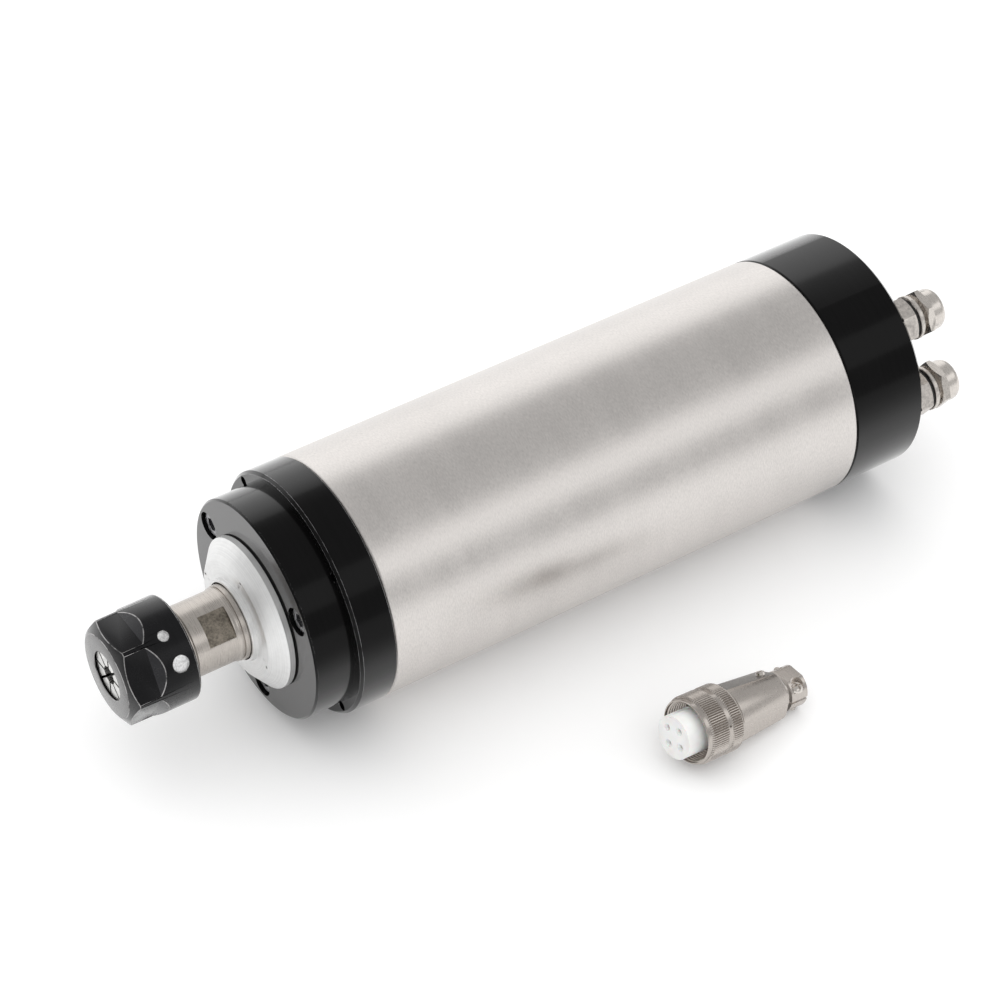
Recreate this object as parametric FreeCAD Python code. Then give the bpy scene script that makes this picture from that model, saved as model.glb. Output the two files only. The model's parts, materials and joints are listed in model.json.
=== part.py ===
import FreeCAD, Part
import os
from math import atan2, cos, degrees, pi, radians, sin, tan

# A water-cooled motor spindle with a collet chuck, and its power plug lying beside it.
# Lengths are millimetres and angles are degrees. The spin axis is X, the nose points to -X
# and Z is up. The origin is on the spin axis at the front face of the front ring.
# Angles about the spin axis are counted from +Y towards +Z.

# Clearances
press_gap = 0.15
turning_gap = 0.4
thread_gap = 0.08
ball_gap = 0.25
cutter_overrun = 1.0

# Body: front ring, steel tube and rear cap, all of one diameter
body_radius = 40.0
body_chamfer = 0.9
front_ring_length = 12.7
front_spigot_length = 8.0
tube_wall = 5.2
tube_chamfer = 0.5
rear_cap_length = 26.9
rear_spigot_length = 4.0
rear_cap_rim = 12.0
rear_wall = 7.0
seal_width = 2.0
seal_depth = 1.6

# Small headless screws that hold the front ring to the tube
ring_screw_count = 4
ring_screw_radius = 1.45
ring_screw_length = 17.0
ring_screw_recess = 1.5
ring_screw_inset = 2.7
ring_screw_angle = 43.5
ring_screw_socket = 1.5
ring_screw_socket_depth = 1.6

# Nose flange, which is also the front bearing housing
flange_radius = 36.15
flange_length = 13.2
flange_chamfer = 0.6
housing_wall = 3.0
housing_lip = 2.2
flange_screw_count = 3
flange_screw_inset = 5.95
flange_screw_angle = 28.0
flange_screw_radius = 2.5
flange_screw_thread = 10.0
flange_screw_head_radius = 4.2
flange_screw_head_length = 5.0
flange_screw_recess = 1.0
screw_socket = 4.0
screw_socket_depth = 2.5

# Front bearing pair
front_bearing_bore = 12.5
front_bearing_inset = 12.65
front_bearing_width = 12.0
front_ball_radius = 3.0
front_ball_count = 10
bearing_spacer_length = 6.0
retainer_length = 4.0
retainer_step = 1.1
retainer_bore = 18.0

# Rear bearing pair
rear_bearing_bore = 7.5
rear_bearing_radius = 16.0
rear_bearing_width = 9.0
rear_ball_radius = 2.1
rear_ball_count = 8
rear_housing_lip = 2.2
rear_lip_bore = 12.6
preload_washer_length = 1.5
circlip_length = 1.2
circlip_depth = 0.9
circlip_inset = 1.3
race_share = 0.55
cage_thickness = 1.6
cage_overhang = 1.1

# Water jacket with a winding channel
jacket_wall = 4.9
channel_count = 8
channel_depth = 3.2
channel_rib = 6.0
channel_end_wall = 7.0

# Motor
stator_setback = 30.0
stator_length = 100.0
rear_setback = 43.4
stator_depth = 11.3
slot_count = 18
slot_width = 3.2
slot_mouth = 1.3
slot_lip = 1.3
back_iron = 3.6
winding_overhang = 13.0
winding_step = 1.1
winding_inset = 1.4
winding_round = 3.0
slot_liner = 0.2
air_gap = 0.5
end_ring_length = 5.0
end_ring_step = 1.0

# Collet nut
nose_reach = 64.0
nut_length = 22.8
nut_radius = 17.0
nut_across_flats = 30.0
nut_flat_length = 9.0
nut_runout_angle = 32.0
nut_corner_angle = 0.0
nut_front_chamfer = 2.1
nut_front_radius = 13.6
nut_back_chamfer = 0.6
nut_mouth_radius = 7.95
nut_mouth_land = 1.2
balance_hole_radius = 2.6
balance_hole_depth = 1.2
balance_hole_place = 17.5
balance_hole_angle = 151.8
balance_small_radius = 1.7
balance_small_place = 15.8
balance_small_angle = 118.5

# Spring collet
collet_length = 31.5
collet_radius = 10.5
collet_bore = 3.0
collet_taper = 8.0
collet_nose_taper = 30.0
collet_nose_length = 2.6
collet_groove_width = 2.0
collet_groove_depth = 1.3
collet_recess = 0.8
collet_reach = 9.0
collet_slot_count = 8
collet_slot_angle = 0.0
collet_slot_width = 0.5
collet_slot_end = 6.0
collet_gap = 0.05

# Spindle shaft
shaft_thread_radius = 12.5
shaft_thread_tail = 2.0
shaft_neck_radius = 11.57
shaft_chamfer = 0.6
shaft_flat_distance = 10.4
shaft_flat_centre = -30.05
shaft_flat_length = 8.9
shaft_flat_angle = 132.6
shaft_shoulder_radius = 15.5
shaft_shoulder_length = 5.0
rotor_seat_radius = 11.0
rear_step_radius = 9.5
drawbore_radius = 6.0
drawbore_length = 10.0
lock_nut_length = 6.0
lock_nut_radius = 11.8
lock_nut_slot = 2.6
lock_nut_slot_count = 4
shaft_tail = 1.5

# Dust cap, which turns with the shaft
dust_rim_radius = 24.75
dust_rim_length = 1.9
dust_gap = 0.5
dust_face_radius = 19.4
dust_cone_length = 4.3
dust_collar_radius = 13.6
dust_collar_length = 1.8
dust_hub_radius = 15.4
dust_pin_count = 4
dust_pin_radius = 0.9
dust_pin_depth = 1.5
dust_pin_circle = 21.4
dust_pin_angle = 40.0

# Water fittings on the rear face
fitting_inset = 8.5
fitting_angles = {"inlet": 131.6, "outlet": 178.0}
fitting_corner_angle = 131.9
fitting_across_flats = 14.0
fitting_hex_length = 5.3
fitting_seal_length = 1.6
fitting_seal_radius = 7.1
fitting_seal_seat = 5.6
fitting_flange_length = 1.1
fitting_flange_radius = 7.3
fitting_neck_radius = 5.2
fitting_neck_length = 4.0
fitting_stub_radius = 4.8
fitting_bore = 2.0
nozzle_radius = 3.0
nozzle_length = 1.4
hose_radius = 4.1
hose_nut_gap = 1.5
hose_nut_hex = 2.8
hose_nut_across_flats = 14.2
hose_nut_length = 8.0
hose_nut_dome_radius = 6.9
hose_nut_dome_round = 2.2
hose_nut_seat = 2.3
ferrule_length = 1.6
ferrule_radius = 4.9
water_hole_radius = 2.4

# Long screws that hold the rear cap
cap_screw_count = 4
cap_screw_inset = 8.0
cap_screw_angle = 65.0
cap_screw_radius = 2.0
cap_screw_thread = 9.0
cap_screw_head_radius = 3.5
cap_screw_head_length = 4.0
cap_screw_recess = 0.6
cap_screw_socket = 3.0

# Power socket on the rear face
socket_inset = 11.0
socket_angle = -25.2
socket_flange_radius = 12.2
socket_flange_length = 2.2
socket_thread_radius = 9.5
socket_thread_length = 9.3
socket_bore = 7.45
socket_body_radius = 9.0
socket_tail = 6.0
socket_nut_length = 3.0
socket_nut_across_flats = 20.0
socket_nut_turn = 30.0
socket_insulator_back = 4.0
socket_insulator_front = 2.0
contact_circle = 4.2
contact_count = 4
contact_angle = 0.0
socket_pin_radius = 1.0
socket_pin_recess = 1.5

# Leads from the windings to the socket
lead_radius = 0.9
lead_inset = 6.6
lead_hole_radius = 3.8
lead_spread = 2.0
lead_bend_radius = 4.0
lead_straight = 4.0

# Plug: its own axis, counted from the front face of its insulator
plug_x = 76.8
plug_y = -93.2
plug_yaw = 4.6
floor_drop = body_radius
plug_insulator_radius = 7.1
plug_insulator_length = 20.0
plug_contact_radius = 1.05
plug_contact_bore = 0.75
plug_contact_recess = 0.8
plug_contact_length = 16.0
plug_contact_angle = 45.0
plug_contact_circle = 3.4
keyway_width = 2.0
keyway_depth = 0.9
keyway_length = 8.0
ring_start = 5.0
ring_length = 14.2
ring_radius = 11.0
ring_thread_length = 10.3
ring_lip_length = 1.6
ring_lip_radius = 10.3
ring_groove_place = 8.6
ring_groove_width = 0.8
ring_groove_depth = 0.5
ring_chamfer = 0.5
shell_neck_radius = 8.5
shell_collar_radius = 9.1
shell_collar_length = 2.2
shell_front_radius = 9.8
shell_rear_radius = 7.4
shell_length = 21.0
shell_wall = 1.4
shell_gap = 0.3
shell_flat_count = 3
shell_flat_angle = 60.0
shell_flat_share = 0.9
cable_radius = 3.6
tail_length = 10.0
tail_radius = 5.6
tail_ear_reach = 9.7
tail_ear_thickness = 2.4
tail_ear_length = 6.0
tail_split = 0.8
tail_screw_radius = 1.2
tail_screw_head_radius = 2.1
tail_screw_head_length = 1.5
tail_screw_place = 7.4
tail_screw_tip = 0.9
lock_screw_radius = 1.3
lock_screw_head = 0.7
lock_screw_depth = 1.1
lock_screw_place = 2.2

# Radii and circles that follow the rims of the body and the flange
ring_screw_circle = body_radius - ring_screw_inset
flange_screw_circle = flange_radius - flange_screw_inset
fitting_circle = body_radius - fitting_inset
cap_screw_circle = body_radius - cap_screw_inset
rear_cavity_radius = body_radius - rear_cap_rim
socket_circle = rear_cavity_radius - socket_inset
front_bearing_radius = flange_radius - front_bearing_inset
retainer_radius = front_bearing_radius + retainer_step
housing_radius = front_bearing_radius + housing_wall

# Stations along the spin axis
tube_length = stator_setback + stator_length + rear_setback
tube_front = front_ring_length
tube_rear = tube_front + tube_length
cap_rear = tube_rear + rear_cap_length
tube_bore = body_radius - tube_wall
spigot_radius = tube_bore - press_gap
front_spigot_end = tube_front + front_spigot_length
front_pair_start = -flange_length + housing_lip
front_pair_end = front_pair_start + 2 * front_bearing_width + bearing_spacer_length
housing_end = front_pair_end + retainer_length
rear_housing_end = tube_rear - rear_spigot_length
rear_pair_end = rear_housing_end - circlip_inset - circlip_length
rear_pair_start = rear_pair_end - 2 * rear_bearing_width
rear_housing_start = rear_pair_start - preload_washer_length - rear_housing_lip
stator_start = tube_front + stator_setback
stator_end = stator_start + stator_length
stator_radius = tube_bore - jacket_wall - 2 * press_gap
stator_bore = stator_radius - stator_depth
slot_start = stator_bore + slot_lip
slot_end = stator_radius - back_iron
winding_bore = stator_bore + winding_step
lead_circle = stator_radius - lead_inset
winding_radius = stator_radius - winding_inset
nut_front = -nose_reach
nut_back = nut_front + nut_length
collet_front = nut_front + collet_recess
collet_back = collet_front + collet_length
collet_cone_start = collet_front + collet_nose_length + collet_groove_width
shaft_front = collet_front + collet_reach
shaft_thread_end = nut_back + shaft_thread_tail
shaft_tail_end = rear_pair_end + lock_nut_length + shaft_tail
socket_tail_start = cap_rear - rear_wall - socket_tail
ring_end = ring_start + ring_length
shell_start = ring_end + shell_gap
shell_end = shell_start + shell_length
tail_end = shell_end + tail_length
ring_foot = ring_end - ring_chamfer
plug_tilt = degrees(atan2(ring_radius - shell_rear_radius, shell_end - ring_foot))

V = FreeCAD.Vector
spin_axis = V(1, 0, 0)


def at_angle(x, radius, angle):
    """A point at a station, a radius and an angle about the spin axis."""
    return V(x, radius * cos(radians(angle)), radius * sin(radians(angle)))


def turned(outline):
    """A solid turned about the spin axis from an outline of (station, radius) points."""
    points = [V(x, 0, radius) for x, radius in outline]
    face = Part.Face(Part.makePolygon(points + points[:1]))
    return face.revolve(V(0, 0, 0), spin_axis, 360)


def disc(start, end, radius):
    return Part.makeCylinder(radius, end - start, V(start, 0, 0), spin_axis)


def sleeve(start, end, bore, radius):
    return turned([(start, bore), (end, bore), (end, radius), (start, radius)])


def rod(start, end, radius, circle, angle):
    """A round bar parallel to the spin axis, on a circle about it."""
    return Part.makeCylinder(radius, end - start, at_angle(start, circle, angle), spin_axis)


def hexagon(start, end, across_flats, corner_angle=0.0):
    corner_radius = across_flats / 2 / cos(pi / 6)
    corners = [at_angle(start, corner_radius, corner_angle + 60 * i) for i in range(6)]
    face = Part.Face(Part.makePolygon(corners + corners[:1]))
    return face.extrude(V(end - start, 0, 0))


def moved_to(shape, circle, angle):
    """A copy of a shape on the spin axis, moved out to a place beside it."""
    copy = shape.copy()
    copy.translate(at_angle(0, circle, angle))
    return copy


def spread(shape, count, first_angle=0.0, pitch=None):
    """Copies of a shape turned about the spin axis."""
    step = pitch or 360 / count
    copies = []
    for i in range(count):
        copy = shape.copy()
        copy.rotate(V(0, 0, 0), spin_axis, first_angle + i * step)
        copies.append(copy)
    return copies


def radial_slot(start, end, inner, outer, width):
    """A flat-sided slot that runs out from the spin axis along +Y."""
    return Part.makeBox(end - start, outer - inner, width, V(start, inner, -width / 2))


def group(shapes):
    return Part.makeCompound(shapes)


def screw(head_x, tip_x, head_length, head_radius, shank_radius, socket, socket_depth, towards):
    """A socket-head screw on the spin axis. towards is 1 if its tip points to +X."""
    under_head = head_x + towards * head_length
    head = disc(min(head_x, under_head), max(head_x, under_head), head_radius)
    shank = disc(min(head_x, tip_x), max(head_x, tip_x), shank_radius)
    socket_end = head_x + towards * socket_depth
    cutter = hexagon(min(head_x, socket_end), max(head_x, socket_end), socket)
    return head.fuse(shank).cut(cutter)


def bent_rod(points, bend_radius, rod_radius):
    """A round rod along straight runs joined by tangent arcs."""
    edges = []
    start = points[0]
    for before, corner, after in zip(points, points[1:], points[2:]):
        arrive = (corner - before).normalize()
        leave = (after - corner).normalize()
        half_turn = arrive.getAngle(leave) / 2
        cut_back = bend_radius * tan(half_turn)
        arc_start = corner - arrive * cut_back
        arc_end = corner + leave * cut_back
        inward = (leave - arrive).normalize()
        arc_middle = corner + inward * (bend_radius / cos(half_turn) - bend_radius)
        edges.append(Part.LineSegment(start, arc_start).toShape())
        edges.append(Part.Arc(arc_start, arc_middle, arc_end).toShape())
        start = arc_end
    edges.append(Part.LineSegment(start, points[-1]).toShape())
    profile = Part.Wire(Part.makeCircle(rod_radius, points[0], points[1] - points[0]))
    return Part.Wire(edges).makePipeShell([profile], True, False)


# Body

def housing_tube():
    return turned([
        (tube_front, tube_bore), (tube_rear, tube_bore),
        (tube_rear, body_radius - tube_chamfer), (tube_rear - tube_chamfer, body_radius),
        (tube_front + tube_chamfer, body_radius), (tube_front, body_radius - tube_chamfer),
    ]).cut(ring_screw_holes())


def ring_screw_holes():
    hole = disc(0, ring_screw_recess + ring_screw_length + cutter_overrun, ring_screw_radius + press_gap)
    return [moved_to(hole, ring_screw_circle, angle) for angle in ring_screw_angles()]


def ring_screw_angles():
    return [ring_screw_angle + i * 360 / ring_screw_count for i in range(ring_screw_count)]


def front_seal_place():
    return (tube_front + front_spigot_end) / 2


def seal_groove(middle):
    bottom = spigot_radius - seal_depth
    half = seal_width / 2
    return sleeve(middle - half, middle + half, bottom, body_radius)


def seal_ring(middle):
    half = seal_width / 2 - press_gap
    return sleeve(middle - half, middle + half, spigot_radius - seal_depth + press_gap, spigot_radius)


def front_ring():
    bore = housing_radius + press_gap
    ring = turned([
        (0, bore), (front_spigot_end, bore), (front_spigot_end, spigot_radius),
        (tube_front, spigot_radius), (tube_front, body_radius - tube_chamfer),
        (tube_front - tube_chamfer, body_radius), (body_chamfer, body_radius),
        (0, body_radius - body_chamfer),
    ])
    thread = disc(0, flange_screw_thread + press_gap, flange_screw_radius + press_gap)
    threads = [moved_to(thread, flange_screw_circle, angle) for angle in flange_screw_angles()]
    return ring.cut(ring_screw_holes() + threads + [seal_groove(front_seal_place())])


def ring_screws():
    end = ring_screw_recess + ring_screw_length
    body = disc(ring_screw_recess, end, ring_screw_radius)
    socket_end = ring_screw_recess + ring_screw_socket_depth
    body = body.cut(hexagon(ring_screw_recess, socket_end, ring_screw_socket))
    return group([moved_to(body, ring_screw_circle, angle) for angle in ring_screw_angles()])


def flange_screw_angles():
    return [flange_screw_angle + i * 360 / flange_screw_count for i in range(flange_screw_count)]


def nose_flange():
    """The black flange and the bearing seat behind it, turned as one piece."""
    seat = front_bearing_radius + press_gap
    lip_bore = dust_hub_radius + turning_gap
    flange = turned([
        (-flange_length, lip_bore), (front_pair_start, lip_bore), (front_pair_start, seat),
        (front_pair_end, seat), (front_pair_end, retainer_radius + press_gap),
        (housing_end, retainer_radius + press_gap), (housing_end, housing_radius),
        (0, housing_radius), (0, flange_radius), (-flange_length + flange_chamfer, flange_radius),
        (-flange_length, flange_radius - flange_chamfer),
    ])
    head_depth = -flange_length + flange_screw_recess + flange_screw_head_length
    counterbore = disc(-flange_length, head_depth, flange_screw_head_radius + turning_gap)
    through = disc(-flange_length, 0, flange_screw_radius + press_gap)
    hole = counterbore.fuse(through)
    return flange.cut([moved_to(hole, flange_screw_circle, angle) for angle in flange_screw_angles()])


def flange_screws():
    head = -flange_length + flange_screw_recess
    one = screw(head, flange_screw_thread, flange_screw_head_length, flange_screw_head_radius,
                flange_screw_radius, screw_socket, screw_socket_depth, 1)
    return group([moved_to(one, flange_screw_circle, angle) for angle in flange_screw_angles()])


def bearing_retainer():
    return sleeve(front_pair_end, housing_end, retainer_bore, retainer_radius)


def water_jacket():
    """The sleeve round the stator, with one channel that winds to and fro along it."""
    inner = tube_bore - press_gap - jacket_wall
    outer = tube_bore - press_gap
    jacket = sleeve(front_spigot_end, rear_housing_start, inner, outer)
    low = front_spigot_end + channel_end_wall
    high = rear_housing_start - channel_end_wall
    pitch = 360 / channel_count
    rib_angle = degrees(channel_rib / outer)
    first = sum(fitting_angles.values()) / 2 + pitch / 2
    cuts = []
    for i in range(channel_count):
        middle = first + i * pitch
        cuts.append(channel(low, high, middle, pitch - rib_angle))
        if i < channel_count - 1:
            crossing = (low, low + channel_rib * 2) if i % 2 == 0 else (high - channel_rib * 2, high)
            cuts.append(channel(crossing[0], crossing[1], middle + pitch / 2, rib_angle * 1.5))
    return jacket.cut(cuts + water_holes(high, rear_housing_start))


def channel(start, end, middle_angle, width_angle):
    """A channel cut from outside, over part of the way round."""
    bottom = tube_bore - press_gap - channel_depth
    points = [V(start, bottom, 0), V(end, bottom, 0), V(end, body_radius, 0), V(start, body_radius, 0)]
    face = Part.Face(Part.makePolygon(points + points[:1]))
    sector = face.revolve(V(0, 0, 0), spin_axis, width_angle)
    sector.rotate(V(0, 0, 0), spin_axis, middle_angle - width_angle / 2)
    return sector


def water_holes(start, end):
    return [rod(start, end, water_hole_radius, fitting_circle, angle) for angle in fitting_angles.values()]


def stator_core():
    core = sleeve(stator_start, stator_end, stator_bore, stator_radius)
    slot = radial_slot(stator_start, stator_end, slot_start, slot_end, slot_width)
    mouth = radial_slot(stator_start, stator_end, stator_bore - cutter_overrun, slot_start, slot_mouth)
    return core.cut(spread(slot.fuse(mouth), slot_count))


def stator_windings():
    """Two end bundles joined by the conductors that fill the slots."""
    bundles = []
    for face, away in ((stator_start, -1), (stator_end, 1)):
        near = face + away * slot_liner
        far = face + away * winding_overhang
        bend = far - away * winding_round
        bundles.append(turned([
            (near, winding_bore), (bend, winding_bore), (far, winding_bore + winding_round),
            (far, winding_radius - winding_round), (bend, winding_radius), (near, winding_radius),
        ]))
    bar = radial_slot(stator_start - winding_round, stator_end + winding_round,
                      slot_start + slot_liner, slot_end - slot_liner, slot_width - 2 * slot_liner)
    return bundles[0].multiFuse(bundles[1:] + spread(bar, slot_count))


def rear_bearing_housing():
    seat = rear_bearing_radius + press_gap
    housing = turned([
        (rear_housing_start, rear_lip_bore), (rear_housing_start + rear_housing_lip, rear_lip_bore),
        (rear_housing_start + rear_housing_lip, seat), (rear_housing_end, seat),
        (rear_housing_end, spigot_radius), (rear_housing_start, spigot_radius),
    ])
    groove = sleeve(rear_pair_end, rear_pair_end + circlip_length, rear_bearing_radius,
                    seat + circlip_depth)
    thread = disc(rear_housing_end - cap_screw_thread, rear_housing_end, cap_screw_radius + press_gap)
    threads = [moved_to(thread, cap_screw_circle, angle) for angle in cap_screw_angles()]
    lead_hole = rod(rear_housing_start, rear_housing_end, lead_hole_radius, lead_circle, socket_angle)
    cuts = threads + water_holes(rear_housing_start, rear_housing_end)
    return housing.cut(cuts + [groove, lead_hole, seal_groove(rear_seal_place())])


def rear_seal_place():
    return (rear_housing_start + rear_housing_end) / 2


def tube_seals():
    return group([seal_ring(front_seal_place()), seal_ring(rear_seal_place())])


def circlip():
    """The split ring that holds the rear bearings in."""
    outer = rear_bearing_radius + circlip_depth
    ring = sleeve(rear_pair_end + press_gap, rear_pair_end + circlip_length - press_gap,
                  rear_bearing_radius - 2 * circlip_depth, outer)
    split = radial_slot(rear_pair_end, rear_pair_end + circlip_length, 0, outer + cutter_overrun,
                        outer / 2)
    return ring.cut(split)


def preload_washer():
    start = rear_housing_start + rear_housing_lip
    return sleeve(start, rear_pair_start, rear_lip_bore + turning_gap, rear_bearing_radius)


def cap_screw_angles():
    return [cap_screw_angle + i * 360 / cap_screw_count for i in range(cap_screw_count)]


def rear_cap():
    inner_face = cap_rear - rear_wall
    cap = turned([
        (rear_housing_end, rear_cavity_radius), (inner_face, rear_cavity_radius), (inner_face, 0),
        (cap_rear, 0), (cap_rear, body_radius - body_chamfer), (cap_rear - body_chamfer, body_radius),
        (tube_rear + tube_chamfer, body_radius), (tube_rear, body_radius - tube_chamfer),
        (tube_rear, spigot_radius), (rear_housing_end, spigot_radius),
    ])
    head_end = cap_rear - cap_screw_recess - cap_screw_head_length
    hole = disc(rear_housing_end, cap_rear, cap_screw_radius + press_gap)
    hole = hole.fuse(disc(head_end, cap_rear, cap_screw_head_radius + turning_gap))
    holes = [moved_to(hole, cap_screw_circle, angle) for angle in cap_screw_angles()]
    stub = disc(inner_face, cap_rear, fitting_stub_radius + press_gap)
    stubs = [moved_to(stub, fitting_circle, angle) for angle in fitting_angles.values()]
    socket_hole = disc(inner_face, cap_rear, socket_body_radius + press_gap)
    socket_hole = moved_to(socket_hole, socket_circle, socket_angle)
    return cap.cut(holes + stubs + [socket_hole] + water_holes(rear_housing_end, inner_face))


def cap_screws():
    head = cap_rear - cap_screw_recess
    tip = rear_housing_end - cap_screw_thread + press_gap
    one = screw(head, tip, cap_screw_head_length, cap_screw_head_radius, cap_screw_radius,
                cap_screw_socket, cap_screw_head_length / 2, -1)
    return group([moved_to(one, cap_screw_circle, angle) for angle in cap_screw_angles()])


# Bearings: each is a pair, so each ring, ball and cage is made twice

front_pair = {
    "bore": front_bearing_bore, "radius": front_bearing_radius, "width": front_bearing_width,
    "ball": front_ball_radius, "count": front_ball_count,
    "starts": [front_pair_start, front_pair_end - front_bearing_width],
}
rear_pair = {
    "bore": rear_bearing_bore, "radius": rear_bearing_radius, "width": rear_bearing_width,
    "ball": rear_ball_radius, "count": rear_ball_count,
    "starts": [rear_pair_start, rear_pair_end - rear_bearing_width],
}


def ball_circle(pair):
    return (pair["bore"] + pair["radius"]) / 2


def ball_track(pair, start):
    middle = V(start + pair["width"] / 2, 0, 0)
    return Part.makeTorus(ball_circle(pair), pair["ball"] + ball_gap, middle, spin_axis)


def outer_races(pair):
    bore = ball_circle(pair) + race_share * pair["ball"]
    rings = [sleeve(x, x + pair["width"], bore, pair["radius"]) for x in pair["starts"]]
    return group([ring.cut(ball_track(pair, x)) for ring, x in zip(rings, pair["starts"])])


def inner_races(pair):
    radius = ball_circle(pair) - race_share * pair["ball"]
    rings = [sleeve(x, x + pair["width"], pair["bore"], radius) for x in pair["starts"]]
    return group([ring.cut(ball_track(pair, x)) for ring, x in zip(rings, pair["starts"])])


def balls(pair):
    solids = []
    for start in pair["starts"]:
        centre = V(start + pair["width"] / 2, ball_circle(pair), 0)
        solids += spread(Part.makeSphere(pair["ball"], centre), pair["count"])
    return group(solids)


def cages(pair):
    solids = []
    half = pair["ball"] + cage_overhang
    bore = ball_circle(pair) - cage_thickness / 2
    for start in pair["starts"]:
        middle = start + pair["width"] / 2
        ring = sleeve(middle - half, middle + half, bore, bore + cage_thickness)
        pocket = Part.makeCylinder(pair["ball"] + press_gap, pair["radius"], V(middle, 0, 0), V(0, 1, 0))
        solids.append(ring.cut(spread(pocket, pair["count"])))
    return group(solids)


def inner_spacer():
    """The short sleeve between the inner rings of the front pair."""
    start = front_pair_start + front_bearing_width
    radius = ball_circle(front_pair) - race_share * front_ball_radius
    return sleeve(start, start + bearing_spacer_length, front_bearing_bore, radius)


def outer_spacer():
    start = front_pair_start + front_bearing_width
    bore = ball_circle(front_pair) + race_share * front_ball_radius
    return sleeve(start, start + bearing_spacer_length, bore, front_bearing_radius)


# Turning shaft

def cone_radius(x, gap=0.0):
    """The radius of the collet's long cone at a station."""
    return collet_radius + gap - (x - collet_cone_start) * tan(radians(collet_taper))


def spindle_shaft():
    seat = front_bearing_bore - press_gap
    rear_seat = rear_bearing_bore - press_gap
    cavity_end = collet_back + drawbore_length
    seat_start = -flange_length - dust_gap - dust_rim_length - dust_cone_length
    shoulder_end = front_pair_end + shaft_shoulder_length
    rotor_end = stator_end + end_ring_length
    mouth = cone_radius(shaft_front, collet_gap)
    shaft = turned([
        (shaft_front, mouth), (shaft_front, shaft_thread_radius - shaft_chamfer),
        (shaft_front + shaft_chamfer, shaft_thread_radius), (shaft_thread_end, shaft_thread_radius),
        (shaft_thread_end + shaft_chamfer, shaft_neck_radius), (seat_start, shaft_neck_radius),
        (seat_start, seat), (front_pair_end, seat), (front_pair_end, shaft_shoulder_radius),
        (shoulder_end, shaft_shoulder_radius), (shoulder_end, rotor_seat_radius),
        (rotor_end, rotor_seat_radius), (rotor_end, rear_step_radius),
        (rear_pair_start, rear_step_radius), (rear_pair_start, rear_seat),
        (shaft_tail_end - shaft_chamfer, rear_seat), (shaft_tail_end, rear_seat - shaft_chamfer),
        (shaft_tail_end, 0), (cavity_end + drawbore_radius / 2, 0), (cavity_end, drawbore_radius),
        (collet_back, drawbore_radius), (collet_back, cone_radius(collet_back, collet_gap)),
    ])
    flat = Part.makeBox(shaft_flat_length, body_radius, body_radius * 2,
                        V(shaft_flat_centre - shaft_flat_length / 2, shaft_flat_distance, -body_radius))
    return shaft.cut(spread(flat, 2, shaft_flat_angle))


def dust_cap():
    """The bright shield that screws on the shaft, with pin holes for its spanner."""
    bore = shaft_thread_radius + press_gap
    back = -flange_length - dust_gap
    rim_front = back - dust_rim_length
    face = rim_front - dust_cone_length
    cap = turned([
        (front_pair_start, bore), (front_pair_start, dust_hub_radius), (back, dust_hub_radius),
        (back, dust_rim_radius), (rim_front, dust_rim_radius), (face, dust_face_radius),
        (face, dust_collar_radius), (face - dust_collar_length, dust_collar_radius),
        (face - dust_collar_length, bore),
    ])
    pin = disc(face, face + dust_cone_length / 2 + dust_pin_depth, dust_pin_radius)
    angles = [dust_pin_angle + i * 360 / dust_pin_count for i in range(dust_pin_count)]
    return cap.cut([moved_to(pin, dust_pin_circle, angle) for angle in angles])


def rotor_core():
    return sleeve(stator_start, stator_end, rotor_seat_radius + press_gap, stator_bore - air_gap)


def rotor_end_rings():
    radius = stator_bore - air_gap - end_ring_step
    bore = rotor_seat_radius + press_gap
    return group([
        sleeve(stator_start - end_ring_length, stator_start, bore, radius),
        sleeve(stator_end, stator_end + end_ring_length, bore, radius),
    ])


def lock_nut():
    """The slotted nut that holds the rear inner rings."""
    end = rear_pair_end + lock_nut_length
    nut = sleeve(rear_pair_end, end, rear_bearing_bore, lock_nut_radius)
    slot = radial_slot(rear_pair_end, end, lock_nut_radius - lock_nut_slot / 2, body_radius, lock_nut_slot)
    return nut.cut(spread(slot, lock_nut_slot_count))


# Collet chuck

def collet():
    """A spring collet, slit from both ends by turns so that it closes evenly."""
    nose = collet_radius - collet_nose_length * tan(radians(collet_nose_taper))
    groove = collet_radius - collet_groove_depth
    nose_end = collet_front + collet_nose_length
    body = turned([
        (collet_front, collet_bore), (collet_front, nose), (nose_end, collet_radius),
        (nose_end, groove), (collet_cone_start, groove), (collet_cone_start, collet_radius),
        (collet_back, cone_radius(collet_back)), (collet_back, collet_bore),
    ])
    front_slot = radial_slot(collet_front, collet_back - collet_slot_end, 0, body_radius,
                             collet_slot_width)
    back_slot = radial_slot(collet_cone_start + collet_slot_end, collet_back, 0, body_radius,
                            collet_slot_width)
    cuts = spread(front_slot, collet_slot_count, collet_slot_angle)
    cuts += spread(back_slot, collet_slot_count, collet_slot_angle + 180 / collet_slot_count)
    return body.cut(cuts)


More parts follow.
